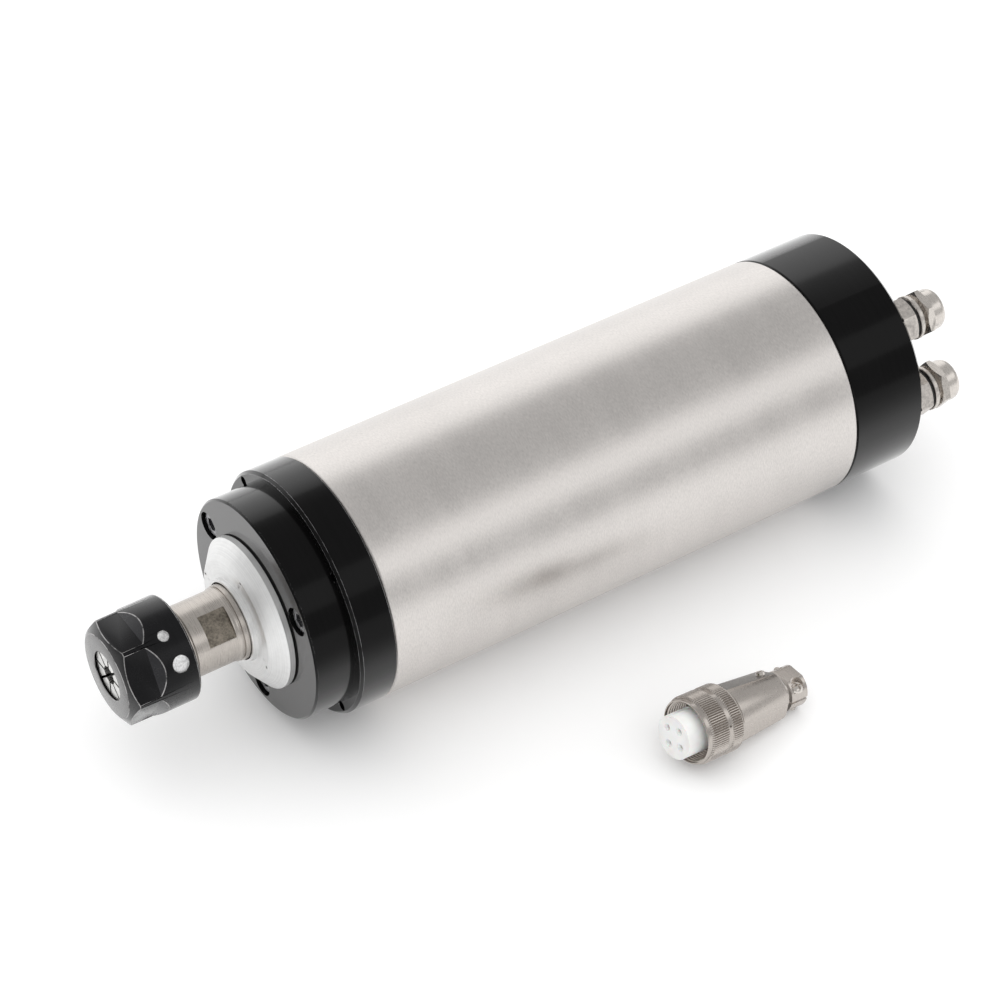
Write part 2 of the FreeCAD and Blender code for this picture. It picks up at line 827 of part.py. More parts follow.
def collet_nut():
    """A round nut with six spanner flats, each with a sloped run-out that leaves a crescent."""
    thread = shaft_thread_radius + thread_gap
    thread_end = shaft_front - turning_gap
    nose = collet_radius - collet_nose_length * tan(radians(collet_nose_taper))
    seat_front = collet_front - turning_gap
    seat_end = collet_front + collet_nose_length
    seat_radius = collet_radius + turning_gap
    nut = turned([
        (nut_front, nut_mouth_radius), (nut_front, nut_front_radius),
        (nut_front + nut_front_chamfer, nut_radius), (nut_back - nut_back_chamfer, nut_radius),
        (nut_back, nut_radius - nut_back_chamfer), (nut_back, thread), (thread_end, thread),
        (thread_end, seat_radius), (seat_end, seat_radius), (seat_front, nose + turning_gap / 2),
        (seat_front, nut_mouth_radius),
    ])
    drills = [
        rim_drill(nut_front + balance_hole_place, balance_hole_angle, balance_hole_radius),
        rim_drill(nut_front + balance_small_place, balance_small_angle, balance_small_radius),
    ]
    return nut.cut(spread(flat_cutter(), 6, nut_corner_angle + 30) + drills)


def flat_cutter():
    """What one spanner flat takes off the nut, on its +Y side."""
    flat = nut_across_flats / 2
    flat_end = nut_front + nut_flat_length
    runout_end = flat_end + flat / tan(radians(nut_runout_angle))
    points = [V(nut_front - flat, flat, -flat), V(flat_end, flat, -flat), V(runout_end, 2 * flat, -flat),
              V(nut_front - flat, 2 * flat, -flat)]
    return Part.Face(Part.makePolygon(points + points[:1])).extrude(V(0, 0, 2 * flat))


def rim_drill(x, angle, radius):
    """A shallow balancing hole drilled into the rim of the nut."""
    outward = at_angle(0, 1, angle)
    start = at_angle(x, nut_radius - balance_hole_depth, angle)
    return Part.makeCylinder(radius, balance_hole_depth * 2, start, outward)


# Water fittings

fitting_seal_start = cap_rear + fitting_hex_length
fitting_flange_start = fitting_seal_start + fitting_seal_length
fitting_neck_start = fitting_flange_start + fitting_flange_length
fitting_neck_end = fitting_neck_start + fitting_neck_length
hose_nut_start = fitting_neck_start + hose_nut_gap
hose_nut_end = hose_nut_start + hose_nut_length
hose_nut_shoulder = hose_nut_end - hose_nut_seat


def fitting_body(angle):
    stub_end = cap_rear - rear_wall
    turned_part = turned([
        (stub_end, fitting_bore), (stub_end, fitting_stub_radius), (cap_rear, fitting_stub_radius),
        (cap_rear, fitting_seal_seat), (fitting_flange_start, fitting_seal_seat),
        (fitting_flange_start, fitting_flange_radius), (fitting_neck_start, fitting_flange_radius),
        (fitting_neck_start, fitting_neck_radius), (fitting_neck_end, fitting_neck_radius),
        (fitting_neck_end, nozzle_radius), (fitting_neck_end + nozzle_length, nozzle_radius),
        (fitting_neck_end + nozzle_length, fitting_bore),
    ])
    hex_part = hexagon(cap_rear, fitting_seal_start, fitting_across_flats, fitting_corner_angle)
    hex_part = hex_part.cut(disc(cap_rear, fitting_seal_start, fitting_bore))
    return moved_to(turned_part.fuse(hex_part), fitting_circle, angle)


def fitting_seal(angle):
    ring = sleeve(fitting_seal_start, fitting_flange_start, fitting_seal_seat + press_gap,
                  fitting_seal_radius)
    return moved_to(ring, fitting_circle, angle)


def hose_ferrule(angle):
    start = hose_nut_shoulder - ferrule_length
    ring = sleeve(start, hose_nut_shoulder, hose_radius, ferrule_radius)
    return moved_to(ring, fitting_circle, angle)


def hose_nut(angle):
    """The domed nut that squeezes the hose on its nozzle."""
    thread = fitting_neck_radius + thread_gap
    round_start = hose_nut_end - hose_nut_dome_round
    bend = hose_nut_dome_round * (1 - cos(pi / 4))
    nut = turned([
        (hose_nut_start, thread), (hose_nut_start, hose_nut_dome_radius),
        (round_start, hose_nut_dome_radius), (hose_nut_end - bend, hose_nut_dome_radius - bend),
        (hose_nut_end, hose_nut_dome_radius - hose_nut_dome_round), (hose_nut_end, hose_radius),
        (hose_nut_shoulder, hose_radius), (hose_nut_shoulder, thread),
    ])
    hex_end = hose_nut_start + hose_nut_hex
    grip = hexagon(hose_nut_start, hex_end, hose_nut_across_flats, fitting_corner_angle)
    grip = grip.cut(disc(hose_nut_start, hex_end, thread))
    return moved_to(nut.fuse(grip), fitting_circle, angle)


# Power socket

socket_face = cap_rear + socket_flange_length
socket_mouth = socket_face + socket_thread_length


def socket_shell():
    shell = turned([
        (socket_tail_start, socket_bore), (socket_tail_start, socket_body_radius),
        (cap_rear, socket_body_radius), (cap_rear, socket_flange_radius),
        (socket_face, socket_flange_radius), (socket_face, socket_thread_radius),
        (socket_mouth, socket_thread_radius), (socket_mouth, socket_bore),
    ])
    return moved_to(shell, socket_circle, socket_angle)


def socket_lock_nut():
    end = cap_rear - rear_wall
    start = end - socket_nut_length
    nut = hexagon(start, end, socket_nut_across_flats, socket_angle + socket_nut_turn)
    nut = nut.cut(disc(start, end, socket_body_radius + press_gap))
    return moved_to(nut, socket_circle, socket_angle)


def at_contacts(shape, circle, first_angle):
    """Copies of a shape on the spin axis, one at each contact's place."""
    angles = [first_angle + i * 360 / contact_count for i in range(contact_count)]
    return [moved_to(shape, circle, angle) for angle in angles]


def socket_insulator():
    start = cap_rear - socket_insulator_back
    end = cap_rear + socket_insulator_front
    block = disc(start, end, socket_bore - press_gap)
    hole = disc(start, end, socket_pin_radius + press_gap)
    block = block.cut(at_contacts(hole, contact_circle, contact_angle))
    return moved_to(block, socket_circle, socket_angle)


def socket_pins():
    pin = disc(socket_tail_start, socket_mouth - socket_pin_recess, socket_pin_radius)
    pins = at_contacts(pin, contact_circle, contact_angle)
    return group([moved_to(one, socket_circle, socket_angle) for one in pins])


def power_leads():
    """One lead from the rear end bundle to each contact, through the rear bearing housing."""
    from_bundle = stator_end + winding_overhang
    turn_start = rear_housing_end + lead_straight
    turn_end = socket_tail_start - lead_straight
    leads = []
    for i in range(contact_count):
        angle = contact_angle + i * 360 / contact_count
        far = at_angle(0, lead_circle, socket_angle) + at_angle(0, lead_spread, angle)
        near = at_angle(0, socket_circle, socket_angle) + at_angle(0, contact_circle, angle)
        route = [V(from_bundle, 0, 0) + far, V(turn_start, 0, 0) + far,
                 V(turn_end, 0, 0) + near, V(socket_tail_start, 0, 0) + near]
        leads.append(bent_rod(route, lead_bend_radius, lead_radius))
    return group(leads)


# Plug

plug_height = -floor_drop + ring_radius * cos(radians(plug_tilt)) + ring_foot * sin(radians(plug_tilt))


def laid_down(shape):
    """Puts a piece of the plug where the plug lies, on its ring and its tail."""
    copy = shape.copy()
    copy.rotate(V(0, 0, 0), V(0, 1, 0), plug_tilt)
    copy.rotate(V(0, 0, 0), V(0, 0, 1), plug_yaw)
    copy.translate(V(plug_x, plug_y, plug_height))
    return copy


def plug_insulator():
    block = disc(0, plug_insulator_length, plug_insulator_radius)
    hole = disc(0, plug_insulator_length, plug_contact_radius + press_gap)
    holes = at_contacts(hole, plug_contact_circle, plug_contact_angle)
    keyway = Part.makeBox(keyway_length, keyway_width, plug_insulator_radius,
                          V(0, -keyway_width / 2, plug_insulator_radius - keyway_depth))
    return laid_down(block.cut(holes + [keyway]))


def plug_contacts():
    end = plug_contact_recess + plug_contact_length
    tube = sleeve(plug_contact_recess, end, plug_contact_bore, plug_contact_radius)
    contacts = at_contacts(tube, plug_contact_circle, plug_contact_angle)
    return group([laid_down(one) for one in contacts])


def plug_coupling_ring():
    """The ring that screws on the socket, with a groove between its two grips."""
    thread = socket_thread_radius + thread_gap
    thread_end = ring_start + ring_thread_length
    lip_end = ring_start + ring_lip_length
    groove_start = ring_start + ring_groove_place
    groove_end = groove_start + ring_groove_width
    bottom = ring_radius - ring_groove_depth
    return laid_down(turned([
        (ring_start, thread), (thread_end, thread), (thread_end, shell_neck_radius + turning_gap),
        (ring_end, shell_neck_radius + turning_gap), (ring_end, ring_radius - ring_chamfer),
        (ring_end - ring_chamfer, ring_radius), (groove_end, ring_radius), (groove_end, bottom),
        (groove_start, bottom), (groove_start, ring_radius), (lip_end + ring_chamfer, ring_radius),
        (lip_end, ring_lip_radius), (ring_start, ring_lip_radius),
    ]))


def shell_radius(x):
    share = (x - shell_start) / shell_length
    return shell_front_radius + share * (shell_rear_radius - shell_front_radius)


def plug_shell():
    """The tapered shell with spanner flats, and the lower half of the cable clamp."""
    seat = plug_insulator_radius + press_gap
    neck_start = ring_start + ring_thread_length - shell_gap - shell_collar_length
    collar_end = neck_start + shell_collar_length
    shell = turned([
        (neck_start, seat), (neck_start, shell_collar_radius), (collar_end, shell_collar_radius),
        (collar_end, shell_neck_radius), (shell_start, shell_neck_radius),
        (shell_start, shell_front_radius), (shell_end, shell_rear_radius),
        (shell_end, cable_radius), (shell_end - shell_wall, cable_radius),
        (shell_end - shell_wall, shell_rear_radius - shell_wall),
        (plug_insulator_length + shell_gap, seat - shell_wall / 2),
        (plug_insulator_length + shell_gap, seat),
    ])
    taper = degrees(atan2(shell_front_radius - shell_rear_radius, shell_length))
    flat = Part.makeBox(shell_length * 3, body_radius, body_radius, V(-shell_length, 0, -body_radius / 2))
    flat.rotate(V(0, 0, 0), V(0, 0, 1), -taper)
    flat.translate(V(shell_start, shell_front_radius * shell_flat_share, 0))
    keep = disc(0, shell_start, body_radius)
    flat = flat.cut(keep)
    lock_hole = Part.makeCylinder(lock_screw_radius + press_gap, body_radius,
                                  lock_screw_base(), V(0, 0, 1))
    shell = shell.cut(spread(flat, shell_flat_count, shell_flat_angle) + [lock_hole])
    return laid_down(shell.fuse(clamp_half(-1)))


def lock_screw_base():
    x = shell_end - lock_screw_place
    return V(x, 0, shell_radius(x) - lock_screw_depth)


def plug_lock_screw():
    length = lock_screw_depth + lock_screw_head
    return laid_down(Part.makeCylinder(lock_screw_radius, length, lock_screw_base(), V(0, 0, 1)))


def clamp_half(side):
    """Half of the cable clamp: a trough with an ear on each side. side is -1 for the lower."""
    trough = sleeve(shell_end, tail_end, cable_radius, tail_radius)
    ear_start = tail_end - tail_ear_length
    ears = Part.makeBox(tail_ear_length, 2 * tail_ear_reach, 2 * tail_ear_thickness,
                        V(ear_start, -tail_ear_reach, -tail_ear_thickness))
    ears = ears.cut(disc(ear_start, tail_end, cable_radius))
    keep_from = tail_split / 2 if side > 0 else -tail_split / 2 - body_radius
    keep = Part.makeBox(tail_length, 2 * body_radius, body_radius, V(shell_end, -body_radius, keep_from))
    half = trough.fuse(ears).common(keep)
    holes = [Part.makeCylinder(tail_screw_radius + press_gap, body_radius, V(x, y, -body_radius / 2))
             for x, y in tail_screw_places()]
    return half.cut(holes)


def tail_screw_places():
    x = tail_end - tail_ear_length / 2
    return [(x, -tail_screw_place), (x, tail_screw_place)]


def plug_clamp():
    return laid_down(clamp_half(1))


def plug_clamp_screws():
    screws = []
    for x, y in tail_screw_places():
        head = Part.makeCylinder(tail_screw_head_radius, tail_screw_head_length,
                                 V(x, y, tail_ear_thickness))
        low = -tail_ear_thickness - tail_screw_tip
        shank = Part.makeCylinder(tail_screw_radius, tail_ear_thickness - low, V(x, y, low))
        slot = Part.makeBox(2 * tail_screw_head_radius, tail_screw_radius / 2, tail_screw_head_length,
                            V(x - tail_screw_head_radius, y - tail_screw_radius / 4,
                              tail_ear_thickness + tail_screw_head_length / 2))
        screws.append(laid_down(head.fuse(shank).cut(slot)))
    return group(screws)


nodes = {
    "housing_tube": housing_tube,
    "front_ring": front_ring,
    "front_ring_screws": ring_screws,
    "nose_flange": nose_flange,
    "nose_flange_screws": flange_screws,
    "bearing_retainer": bearing_retainer,
    "front_outer_races": lambda: outer_races(front_pair),
    "front_outer_spacer": outer_spacer,
    "front_inner_races": lambda: inner_races(front_pair),
    "front_inner_spacer": inner_spacer,
    "front_bearing_balls": lambda: balls(front_pair),
    "front_bearing_cages": lambda: cages(front_pair),
    "tube_seals": tube_seals,
    "water_jacket": water_jacket,
    "stator_core": stator_core,
    "stator_windings": stator_windings,
    "rear_bearing_housing": rear_bearing_housing,
    "rear_outer_races": lambda: outer_races(rear_pair),
    "rear_inner_races": lambda: inner_races(rear_pair),
    "rear_bearing_balls": lambda: balls(rear_pair),
    "rear_bearing_cages": lambda: cages(rear_pair),
    "rear_circlip": circlip,
    "preload_washer": preload_washer,
    "rear_cap": rear_cap,
    "rear_cap_screws": cap_screws,
    "spindle_shaft": spindle_shaft,
    "dust_cap": dust_cap,
    "rotor_core": rotor_core,
    "rotor_end_rings": rotor_end_rings,
    "shaft_lock_nut": lock_nut,
    "collet": collet,
    "collet_nut": collet_nut,
    "power_socket_shell": socket_shell,
    "power_socket_nut": socket_lock_nut,
    "power_socket_insulator": socket_insulator,
    "power_socket_pins": socket_pins,
    "power_leads": power_leads,
    "plug_insulator": plug_insulator,
    "plug_contacts": plug_contacts,
    "plug_coupling_ring": plug_coupling_ring,
    "plug_shell": plug_shell,
    "plug_lock_screw": plug_lock_screw,
    "plug_cable_clamp": plug_clamp,
    "plug_clamp_screws": plug_clamp_screws,
}

for side, side_angle in fitting_angles.items():
    nodes[f"water_{side}_body"] = lambda angle=side_angle: fitting_body(angle)
    nodes[f"water_{side}_seal"] = lambda angle=side_angle: fitting_seal(angle)
    nodes[f"water_{side}_ferrule"] = lambda angle=side_angle: hose_ferrule(angle)
    nodes[f"water_{side}_nut"] = lambda angle=side_angle: hose_nut(angle)

os.makedirs("parts", exist_ok=True)
for name, make in nodes.items():
    make().exportStep(f"parts/{name}.step")
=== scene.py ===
import bpy
import json
from math import asin, atan2, cos, degrees, pi, radians, sin, tan
from mathutils import Matrix, Vector


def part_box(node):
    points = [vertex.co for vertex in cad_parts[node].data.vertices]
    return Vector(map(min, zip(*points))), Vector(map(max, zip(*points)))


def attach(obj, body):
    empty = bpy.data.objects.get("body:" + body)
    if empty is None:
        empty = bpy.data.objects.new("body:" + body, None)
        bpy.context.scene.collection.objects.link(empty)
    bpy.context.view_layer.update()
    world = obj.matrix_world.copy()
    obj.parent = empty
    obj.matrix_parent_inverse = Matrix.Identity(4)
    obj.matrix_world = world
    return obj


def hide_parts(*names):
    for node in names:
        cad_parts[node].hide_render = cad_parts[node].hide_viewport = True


# The looks of a water-cooled motor spindle and of the power plug lying beside it.
# Stations along the spin axis and radii are given in millimetres, as in the solids.

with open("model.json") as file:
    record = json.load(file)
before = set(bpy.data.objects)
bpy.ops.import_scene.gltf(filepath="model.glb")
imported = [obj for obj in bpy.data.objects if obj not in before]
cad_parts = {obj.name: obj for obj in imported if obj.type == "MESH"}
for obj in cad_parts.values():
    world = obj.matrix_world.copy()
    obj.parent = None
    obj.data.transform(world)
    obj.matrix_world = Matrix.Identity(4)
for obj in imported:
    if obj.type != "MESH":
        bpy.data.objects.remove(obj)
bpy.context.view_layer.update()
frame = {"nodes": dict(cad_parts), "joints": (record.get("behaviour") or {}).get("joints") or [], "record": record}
joints = {joint["name"]: joint for joint in frame["joints"]}
bpy.ops.object.select_all(action="DESELECT")

mm = 0.001
hair = 0.001 * mm
body_radius = 40.0
ring_rear = 12.7
tube_rear = 186.1
cap_rear = 213.0
flange_front = -13.2
flange_radius = 36.15
nut_front = -64.0
nut_back = -41.2
nut_radius = 17.0
run_out_start = -55.0
shaft_front = -54.2
shaft_neck = 11.57
shaft_flat_angle = 132.6

# Screws: the radius of the circle that they stand on, and their angles about the spin axis
ring_screw_circle = 37.3
ring_screw_angles = [43.5, 133.5, 223.5, 313.5]
flange_screw_circle = 30.2
flange_screw_angles = [28, 148, 268]
cap_screw_circle = 32
cap_screw_angles = [65, 155, 245, 335]

# Balancing holes in the nut's rim: station, angle and radius
balancing_holes = [(-46.5, 151.8, 2.6), (-48.2, 118.5, 1.7)]

# Socket and plug, measured along and about their own axes
pin_circle = 4.2
contact_circle = 3.7
contact_angles = [24, 114, 204, 294]
knurl_steps = 276
knurl_depth = 0.36
shell_front = (20.1, 9.78)
shell_rear = (40.0, 8.25)
shell_flat_angles = [60, 180, 300]
lock_screw_station = 37.5
clamp_screw_station = 45.9
clamp_screw_offset = 4.5
plug_tone = (0.53, 0.49, 0.455)


# Bench work: how each piece is made

def place_at(x, radius, angle):
    """A point in metres, from a station, a radius and an angle about the spin axis."""
    return Vector((x, radius * cos(radians(angle)), radius * sin(radians(angle)))) * mm


def alone(piece):
    bpy.ops.object.select_all(action="DESELECT")
    piece.select_set(True)
    bpy.context.view_layer.objects.active = piece
    return piece


def named(name):
    piece = bpy.context.object
    piece.name = name
    return piece


def apply_step(piece, kind, **settings):
    """One modifier, set and applied."""
    alone(piece)
    step = piece.modifiers.new("step", kind)
    for key, value in settings.items():
        setattr(step, key, value)
    bpy.ops.object.modifier_apply(modifier=step.name)
    return piece


def settle(piece):
    """Leaves the place, turn and size in the mesh."""
    alone(piece)
    bpy.ops.object.transform_apply(location=True, rotation=True, scale=True)
    return piece


def merged(*pieces):
    bpy.ops.object.select_all(action="DESELECT")
    for piece in pieces:
        piece.select_set(True)
    bpy.context.view_layer.objects.active = pieces[0]
    bpy.ops.object.join()
    return pieces[0]


def tidy_mesh():
    """Closes the seam and the poles of the mesh in hand and turns its faces outwards."""
    bpy.ops.mesh.select_all(action="SELECT")
    bpy.ops.mesh.remove_doubles(threshold=hair)
    bpy.ops.mesh.delete_loose()
    bpy.ops.mesh.select_all(action="SELECT")
    bpy.ops.mesh.normals_make_consistent(inside=False)
    bpy.ops.object.mode_set(mode="OBJECT")


def drawn(name, outline):
    """A closed outline of (station, radius) points over the spin axis, still in edit mode."""
    bpy.ops.mesh.primitive_plane_add(size=mm, enter_editmode=True, location=(0, 0, 0))
    piece = named(name)
    bpy.ops.mesh.merge(type="CENTER")
    x, radius = outline[0]
    bpy.ops.transform.translate(value=(x * mm, 0, radius * mm))
    for (x, radius), (next_x, next_radius) in zip(outline, outline[1:] + outline[:1]):
        move = ((next_x - x) * mm, 0, (next_radius - radius) * mm)
        bpy.ops.mesh.extrude_vertices_move(TRANSFORM_OT_translate={"value": move})
    bpy.ops.mesh.select_all(action="SELECT")
    bpy.ops.mesh.remove_doubles(threshold=hair)
    return piece


def turned(name, outline, steps=160):
    """A piece turned on the lathe about the spin axis."""
    piece = drawn(name, outline)
    bpy.ops.mesh.spin(steps=steps, angle=2 * pi, center=(0, 0, 0), axis=(1, 0, 0))
    tidy_mesh()
    return piece


def disc(name, start, end, radius, steps=64):
    return turned(name, [(start, 0), (end, 0), (end, radius), (start, radius)], steps)


def sleeve(name, start, end, bore, radius):
    return turned(name, [(start, bore), (end, bore), (end, radius), (start, radius)], 96)


def hexagon(name, start, end, across_flats, corner_angle):
    """A six-sided bar on the spin axis. The angle is the one of a corner."""
    piece = disc(name, start, end, across_flats / 2 / cos(pi / 6), 6)
    return turned_by(piece, corner_angle - 90)


def turned_by(piece, angle):
    """The same piece turned about the spin axis."""
    alone(piece)
    piece.matrix_world = Matrix.Rotation(radians(angle), 4, "X") @ piece.matrix_world
    return settle(piece)


def moved(piece, offset):
    alone(piece)
    bpy.ops.transform.translate(value=offset)
    return settle(piece)


def moved_out(piece, circle, angle):
    """The same piece, off the spin axis."""
    return moved(piece, place_at(0, circle, angle))


def upright(piece):
    """The same piece with its own axis turned up from the spin axis."""
    piece.matrix_world = Matrix.Rotation(-pi / 2, 4, "Y")
    return settle(piece)


def copied(piece, name):
    """A copy with a mesh of its own."""
    alone(piece)
    bpy.ops.object.duplicate(linked=False)
    return named(name)


def around(piece, angles):
    """The piece and its copies at these angles about the spin axis, all as one mesh."""
    row = [turned_by(copied(piece, piece.name + "_copy"), angle) for angle in angles[1:]]
    return merged(turned_by(piece, angles[0]), *row)


def block(name, start, end, low_y, high_y, low_z, high_z):
    middle = Vector((start + end, low_y + high_y, low_z + high_z)) / 2 * mm
    size = Vector((end - start, high_y - low_y, high_z - low_z)) * mm
    bpy.ops.mesh.primitive_cube_add(size=1, location=middle, scale=size)
    return settle(named(name))


def cut(piece, *cutters, add=False):
    """Takes the cutters away from the piece, or adds them to it."""
    for cutter in cutters:
        apply_step(piece, "BOOLEAN", operation="UNION" if add else "DIFFERENCE", solver="EXACT",
                   object=cutter)
        bpy.data.objects.remove(cutter)
    return piece


def soften(piece, width, segments=1, finishes=(), clamp=True):
    """Breaks the sharp edges. Of the finishes, the first covers the piece and the last the
    broken edges. One segment stays a narrow facet, so that the long faces beside it keep
    their true shading."""
    for finish in finishes:
        piece.data.materials.append(finish.material)
    apply_step(piece, "BEVEL", width=width * mm, segments=segments, limit_method="ANGLE",
               angle_limit=radians(26), use_clamp_overlap=clamp, material=len(finishes) - 1)
    if segments == 1:
        return shade(piece, 21)
    return apply_step(shade(piece, 40), "WEIGHTED_NORMAL", keep_sharp=True)


def shade(piece, angle):
    """Shades smoothly across edges flatter than the angle."""
    alone(piece)
    bpy.ops.object.shade_smooth_by_angle(angle=radians(angle))
    return piece


def ridge(name, start, turns, pitch, root, crest):
    """The helical ridge of a screw thread, closed at both ends."""
    foot = pitch * 0.44
    top = foot * 0.3
    piece = drawn(name, [(start - foot, root), (start + foot, root), (start + top, crest),
                         (start - top, crest)])
    bpy.ops.object.mode_set(mode="OBJECT")
    apply_step(piece, "SCREW", axis="X", angle=2 * pi, steps=48, render_steps=48,
               screw_offset=pitch * mm, iterations=turns, use_merge_vertices=True,
               merge_threshold=hair)
    bpy.ops.object.mode_set(mode="EDIT")
    bpy.ops.mesh.select_all(action="SELECT")
    bpy.ops.mesh.fill_holes(sides=4)
    tidy_mesh()
    return shade(piece, 30)


def on_front(station):
    """Picks the faces that look forward from a station."""
    return lambda middle, normal: normal.x < -0.99 and middle.x < station + 0.1


def faces_where(piece, test, material_index):
    """Gives another finish to the faces whose middle, in millimetres, and normal pass the test."""
    for face in piece.data.polygons:
        if test(face.center / mm, face.normal):
            face.material_index = material_index


def fit(piece, finishes, body, nodes):
    """Finishes a piece and fixes it on the body that carries it, in place of its solids."""
    for finish in finishes:
        piece.data.materials.append(finish.material)
    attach(piece, body)
    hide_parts(*nodes)


# Finishes

class Reading:
    """A number that changes over a surface, so that sums on it can be written plainly."""

    def __init__(self, finish, socket):
        self.finish = finish
        self.socket = socket

    def __add__(self, other):
        return self.finish.sum("ADD", self, other)

    def __mul__(self, other):
        return self.finish.sum("MULTIPLY", self, other)

    def __truediv__(self, other):
        return self.finish.sum("DIVIDE", self, other)


class Finish:
    """A surface finish: one shader whose steady values are set on it, and patterns that feed it."""

    def __init__(self, name, **steady):
        self.material = bpy.data.materials.new(name)
        self.material.use_nodes = True
        self.shader = self.material.node_tree.nodes["Principled BSDF"]
        for socket, value in steady.items():
            self.shader.inputs[socket.replace("_", " ")].default_value = value
        self.spot = self.node("ShaderNodeTexCoord").outputs["Object"]

    def node(self, kind, settings=None, sockets=None):
        made = self.material.node_tree.nodes.new(kind)
        for key, value in (settings or {}).items():
            setattr(made, key, value)
        for key, value in (sockets or {}).items():
            self.join(made.inputs[key], value)
        return made

    def join(self, socket, value):
        value = getattr(value, "socket", value)
        if isinstance(value, bpy.types.NodeSocket):
            self.material.node_tree.links.new(value, socket)
        else:
            socket.default_value = value

    def sum(self, operation, first, second=0.0):
        made = self.node("ShaderNodeMath", {"operation": operation}, {0: first, 1: second})
        return Reading(self, made.outputs[0])

    def centred(self, place):
        """Counts the patterns from the axis of a piece that sits elsewhere."""
        made = self.node("ShaderNodeMapping", {"vector_type": "TEXTURE"}, {
            "Vector": self.spot, "Location": place.translation, "Rotation": place.to_euler()})
        self.spot = made.outputs[0]
        return self

    def axes(self):
        """The station along the axis, the radius and the angle about the axis, seam underneath."""
        split = self.node("ShaderNodeSeparateXYZ", sockets={0: self.spot})
        x, y, z = [Reading(self, split.outputs[i]) for i in range(3)]
        radius = self.sum("SQRT", y * y + z * z)
        return x, radius, self.sum("ARCTAN2", y, z)

    def grid(self, first, second, third=0.0):
        made = self.node("ShaderNodeCombineXYZ", sockets={0: first, 1: second, 2: third})
        return made.outputs[0]

    def noise(self, vector, scale=1.0, detail=3.0, roughness=0.6):
        made = self.node("ShaderNodeTexNoise", sockets={
            "Vector": vector, "Scale": scale, "Detail": detail, "Roughness": roughness})
        return Reading(self, made.outputs[0])

    def ramp(self, reading, low, high, start=0.0, end=1.0):
        """Takes a reading from one range to another, smoothly and no further."""
        made = self.node("ShaderNodeMapRange", {"interpolation_type": "SMOOTHSTEP"}, {
            "Value": reading, "From Min": low, "From Max": high, "To Min": start, "To Max": end})
        return Reading(self, made.outputs[0])

    def mix(self, share, first, second):
        made = self.node("ShaderNodeMix", {"data_type": "RGBA"}, {0: share})
        for index, colour in ((6, first), (7, second)):
            self.join(made.inputs[index], colour if hasattr(colour, "node") else (*colour, 1.0))
        return made.outputs[2]

    def tinted(self, colour, low, high, share):
        """A colour between a darker and a lighter tone of it."""
        return self.mix(share, [c * low for c in colour], [c * high for c in colour])

    def bump(self, height, depth, strength=1.0):
        made = self.node("ShaderNodeBump", sockets={
            "Height": height, "Distance": depth * mm, "Strength": strength})
        self.join(self.shader.inputs["Normal"], made.outputs[0])
        return self

    def feed(self, socket, value):
        self.join(self.shader.inputs[socket], value)
        return self

    def sheen(self, low, high):
        """Brings the gloss coat in from a steep look at the surface to a flat one."""
        look = self.node("ShaderNodeLayerWeight", sockets={"Blend": 0.5})
        facing = Reading(self, look.outputs["Facing"])
        return self.feed("Coat Weight", self.ramp(facing, low, high, 0.2))


def turned_steel():
    """The tube's skin: fine grain running round it, with faint broad bands."""
    f = Finish("turned_steel", Metallic=1.0)
    x, radius, angle = f.axes()
    arc = angle * body_radius * mm
    fine = f.noise(f.grid(x / (0.28 * mm), arc / (1.6 * mm)), detail=2.0)
    specks = f.noise(f.grid(x / (0.5 * mm), arc / (0.9 * mm), radius / mm), detail=1.0)
    bands = f.noise(f.grid(x / (9 * mm), arc / (60 * mm)), detail=4.0, roughness=0.7)
    clouds = f.noise(f.spot, scale=24.0, detail=2.0)
    share = f.ramp(fine * 0.5 + specks * 0.2 + bands * 0.2 + clouds * 0.1, 0.34, 0.66)
    f.feed("Base Color", f.tinted((0.665, 0.636, 0.613), 0.88, 1.10, share))
    f.feed("Roughness", f.ramp(bands * 0.5 + fine * 0.5, 0.3, 0.7, 0.30, 0.40))
    return f.bump(fine * 0.7 + specks * 0.3, 0.012, 0.6)


def black_anodised(name, tone=(0.0022, 0.0021, 0.0022), gloss=1.15):
    """Deep black that mirrors only at a flat angle, with fine turning marks."""
    f = Finish(name, IOR=gloss, Coat_IOR=1.36, Coat_Roughness=0.13).sheen(0.22, 0.42)
    x, radius, angle = f.axes()
    marks = f.noise(f.grid(x / (0.35 * mm), radius / (0.35 * mm), angle * 0.4), detail=2.0)
    clouds = f.noise(f.spot, scale=60.0, detail=3.0)
    share = f.ramp(marks * 0.6 + clouds * 0.4, 0.3, 0.7)
    f.feed("Base Color", f.tinted(tone, 0.7, 1.3, share))
    f.feed("Roughness", f.ramp(marks * 0.5 + clouds * 0.5, 0.3, 0.7, 0.13, 0.22))
    return f.bump(marks, 0.003, 0.25)


def edge_wear_and_painted_highlight(name, tone=(0.62, 0.62, 0.63)):
    """Broken edges, lightened: partly bare metal showing through the blackening here and there, partly a painted
    highlight for the glint that the edges catch.
    """
    f = Finish(name, IOR=1.3)
    wear_and_glint = f.ramp(f.noise(f.spot, scale=260.0, detail=4.0, roughness=0.7), 0.34, 0.56)
    grit = f.noise(f.spot, scale=1500.0, detail=2.0)
    # Painted highlight with real wear: the share of bright metal tone on the broken edges
    bright = wear_and_glint * f.ramp(grit, 0.2, 0.6, 0.6)
    f.feed("Base Color", f.mix(bright, (0.03, 0.03, 0.03), tone))
    f.feed("Metallic", wear_and_glint)
    f.feed("Roughness", f.ramp(grit, 0.3, 0.7, 0.28, 0.42))
    return f


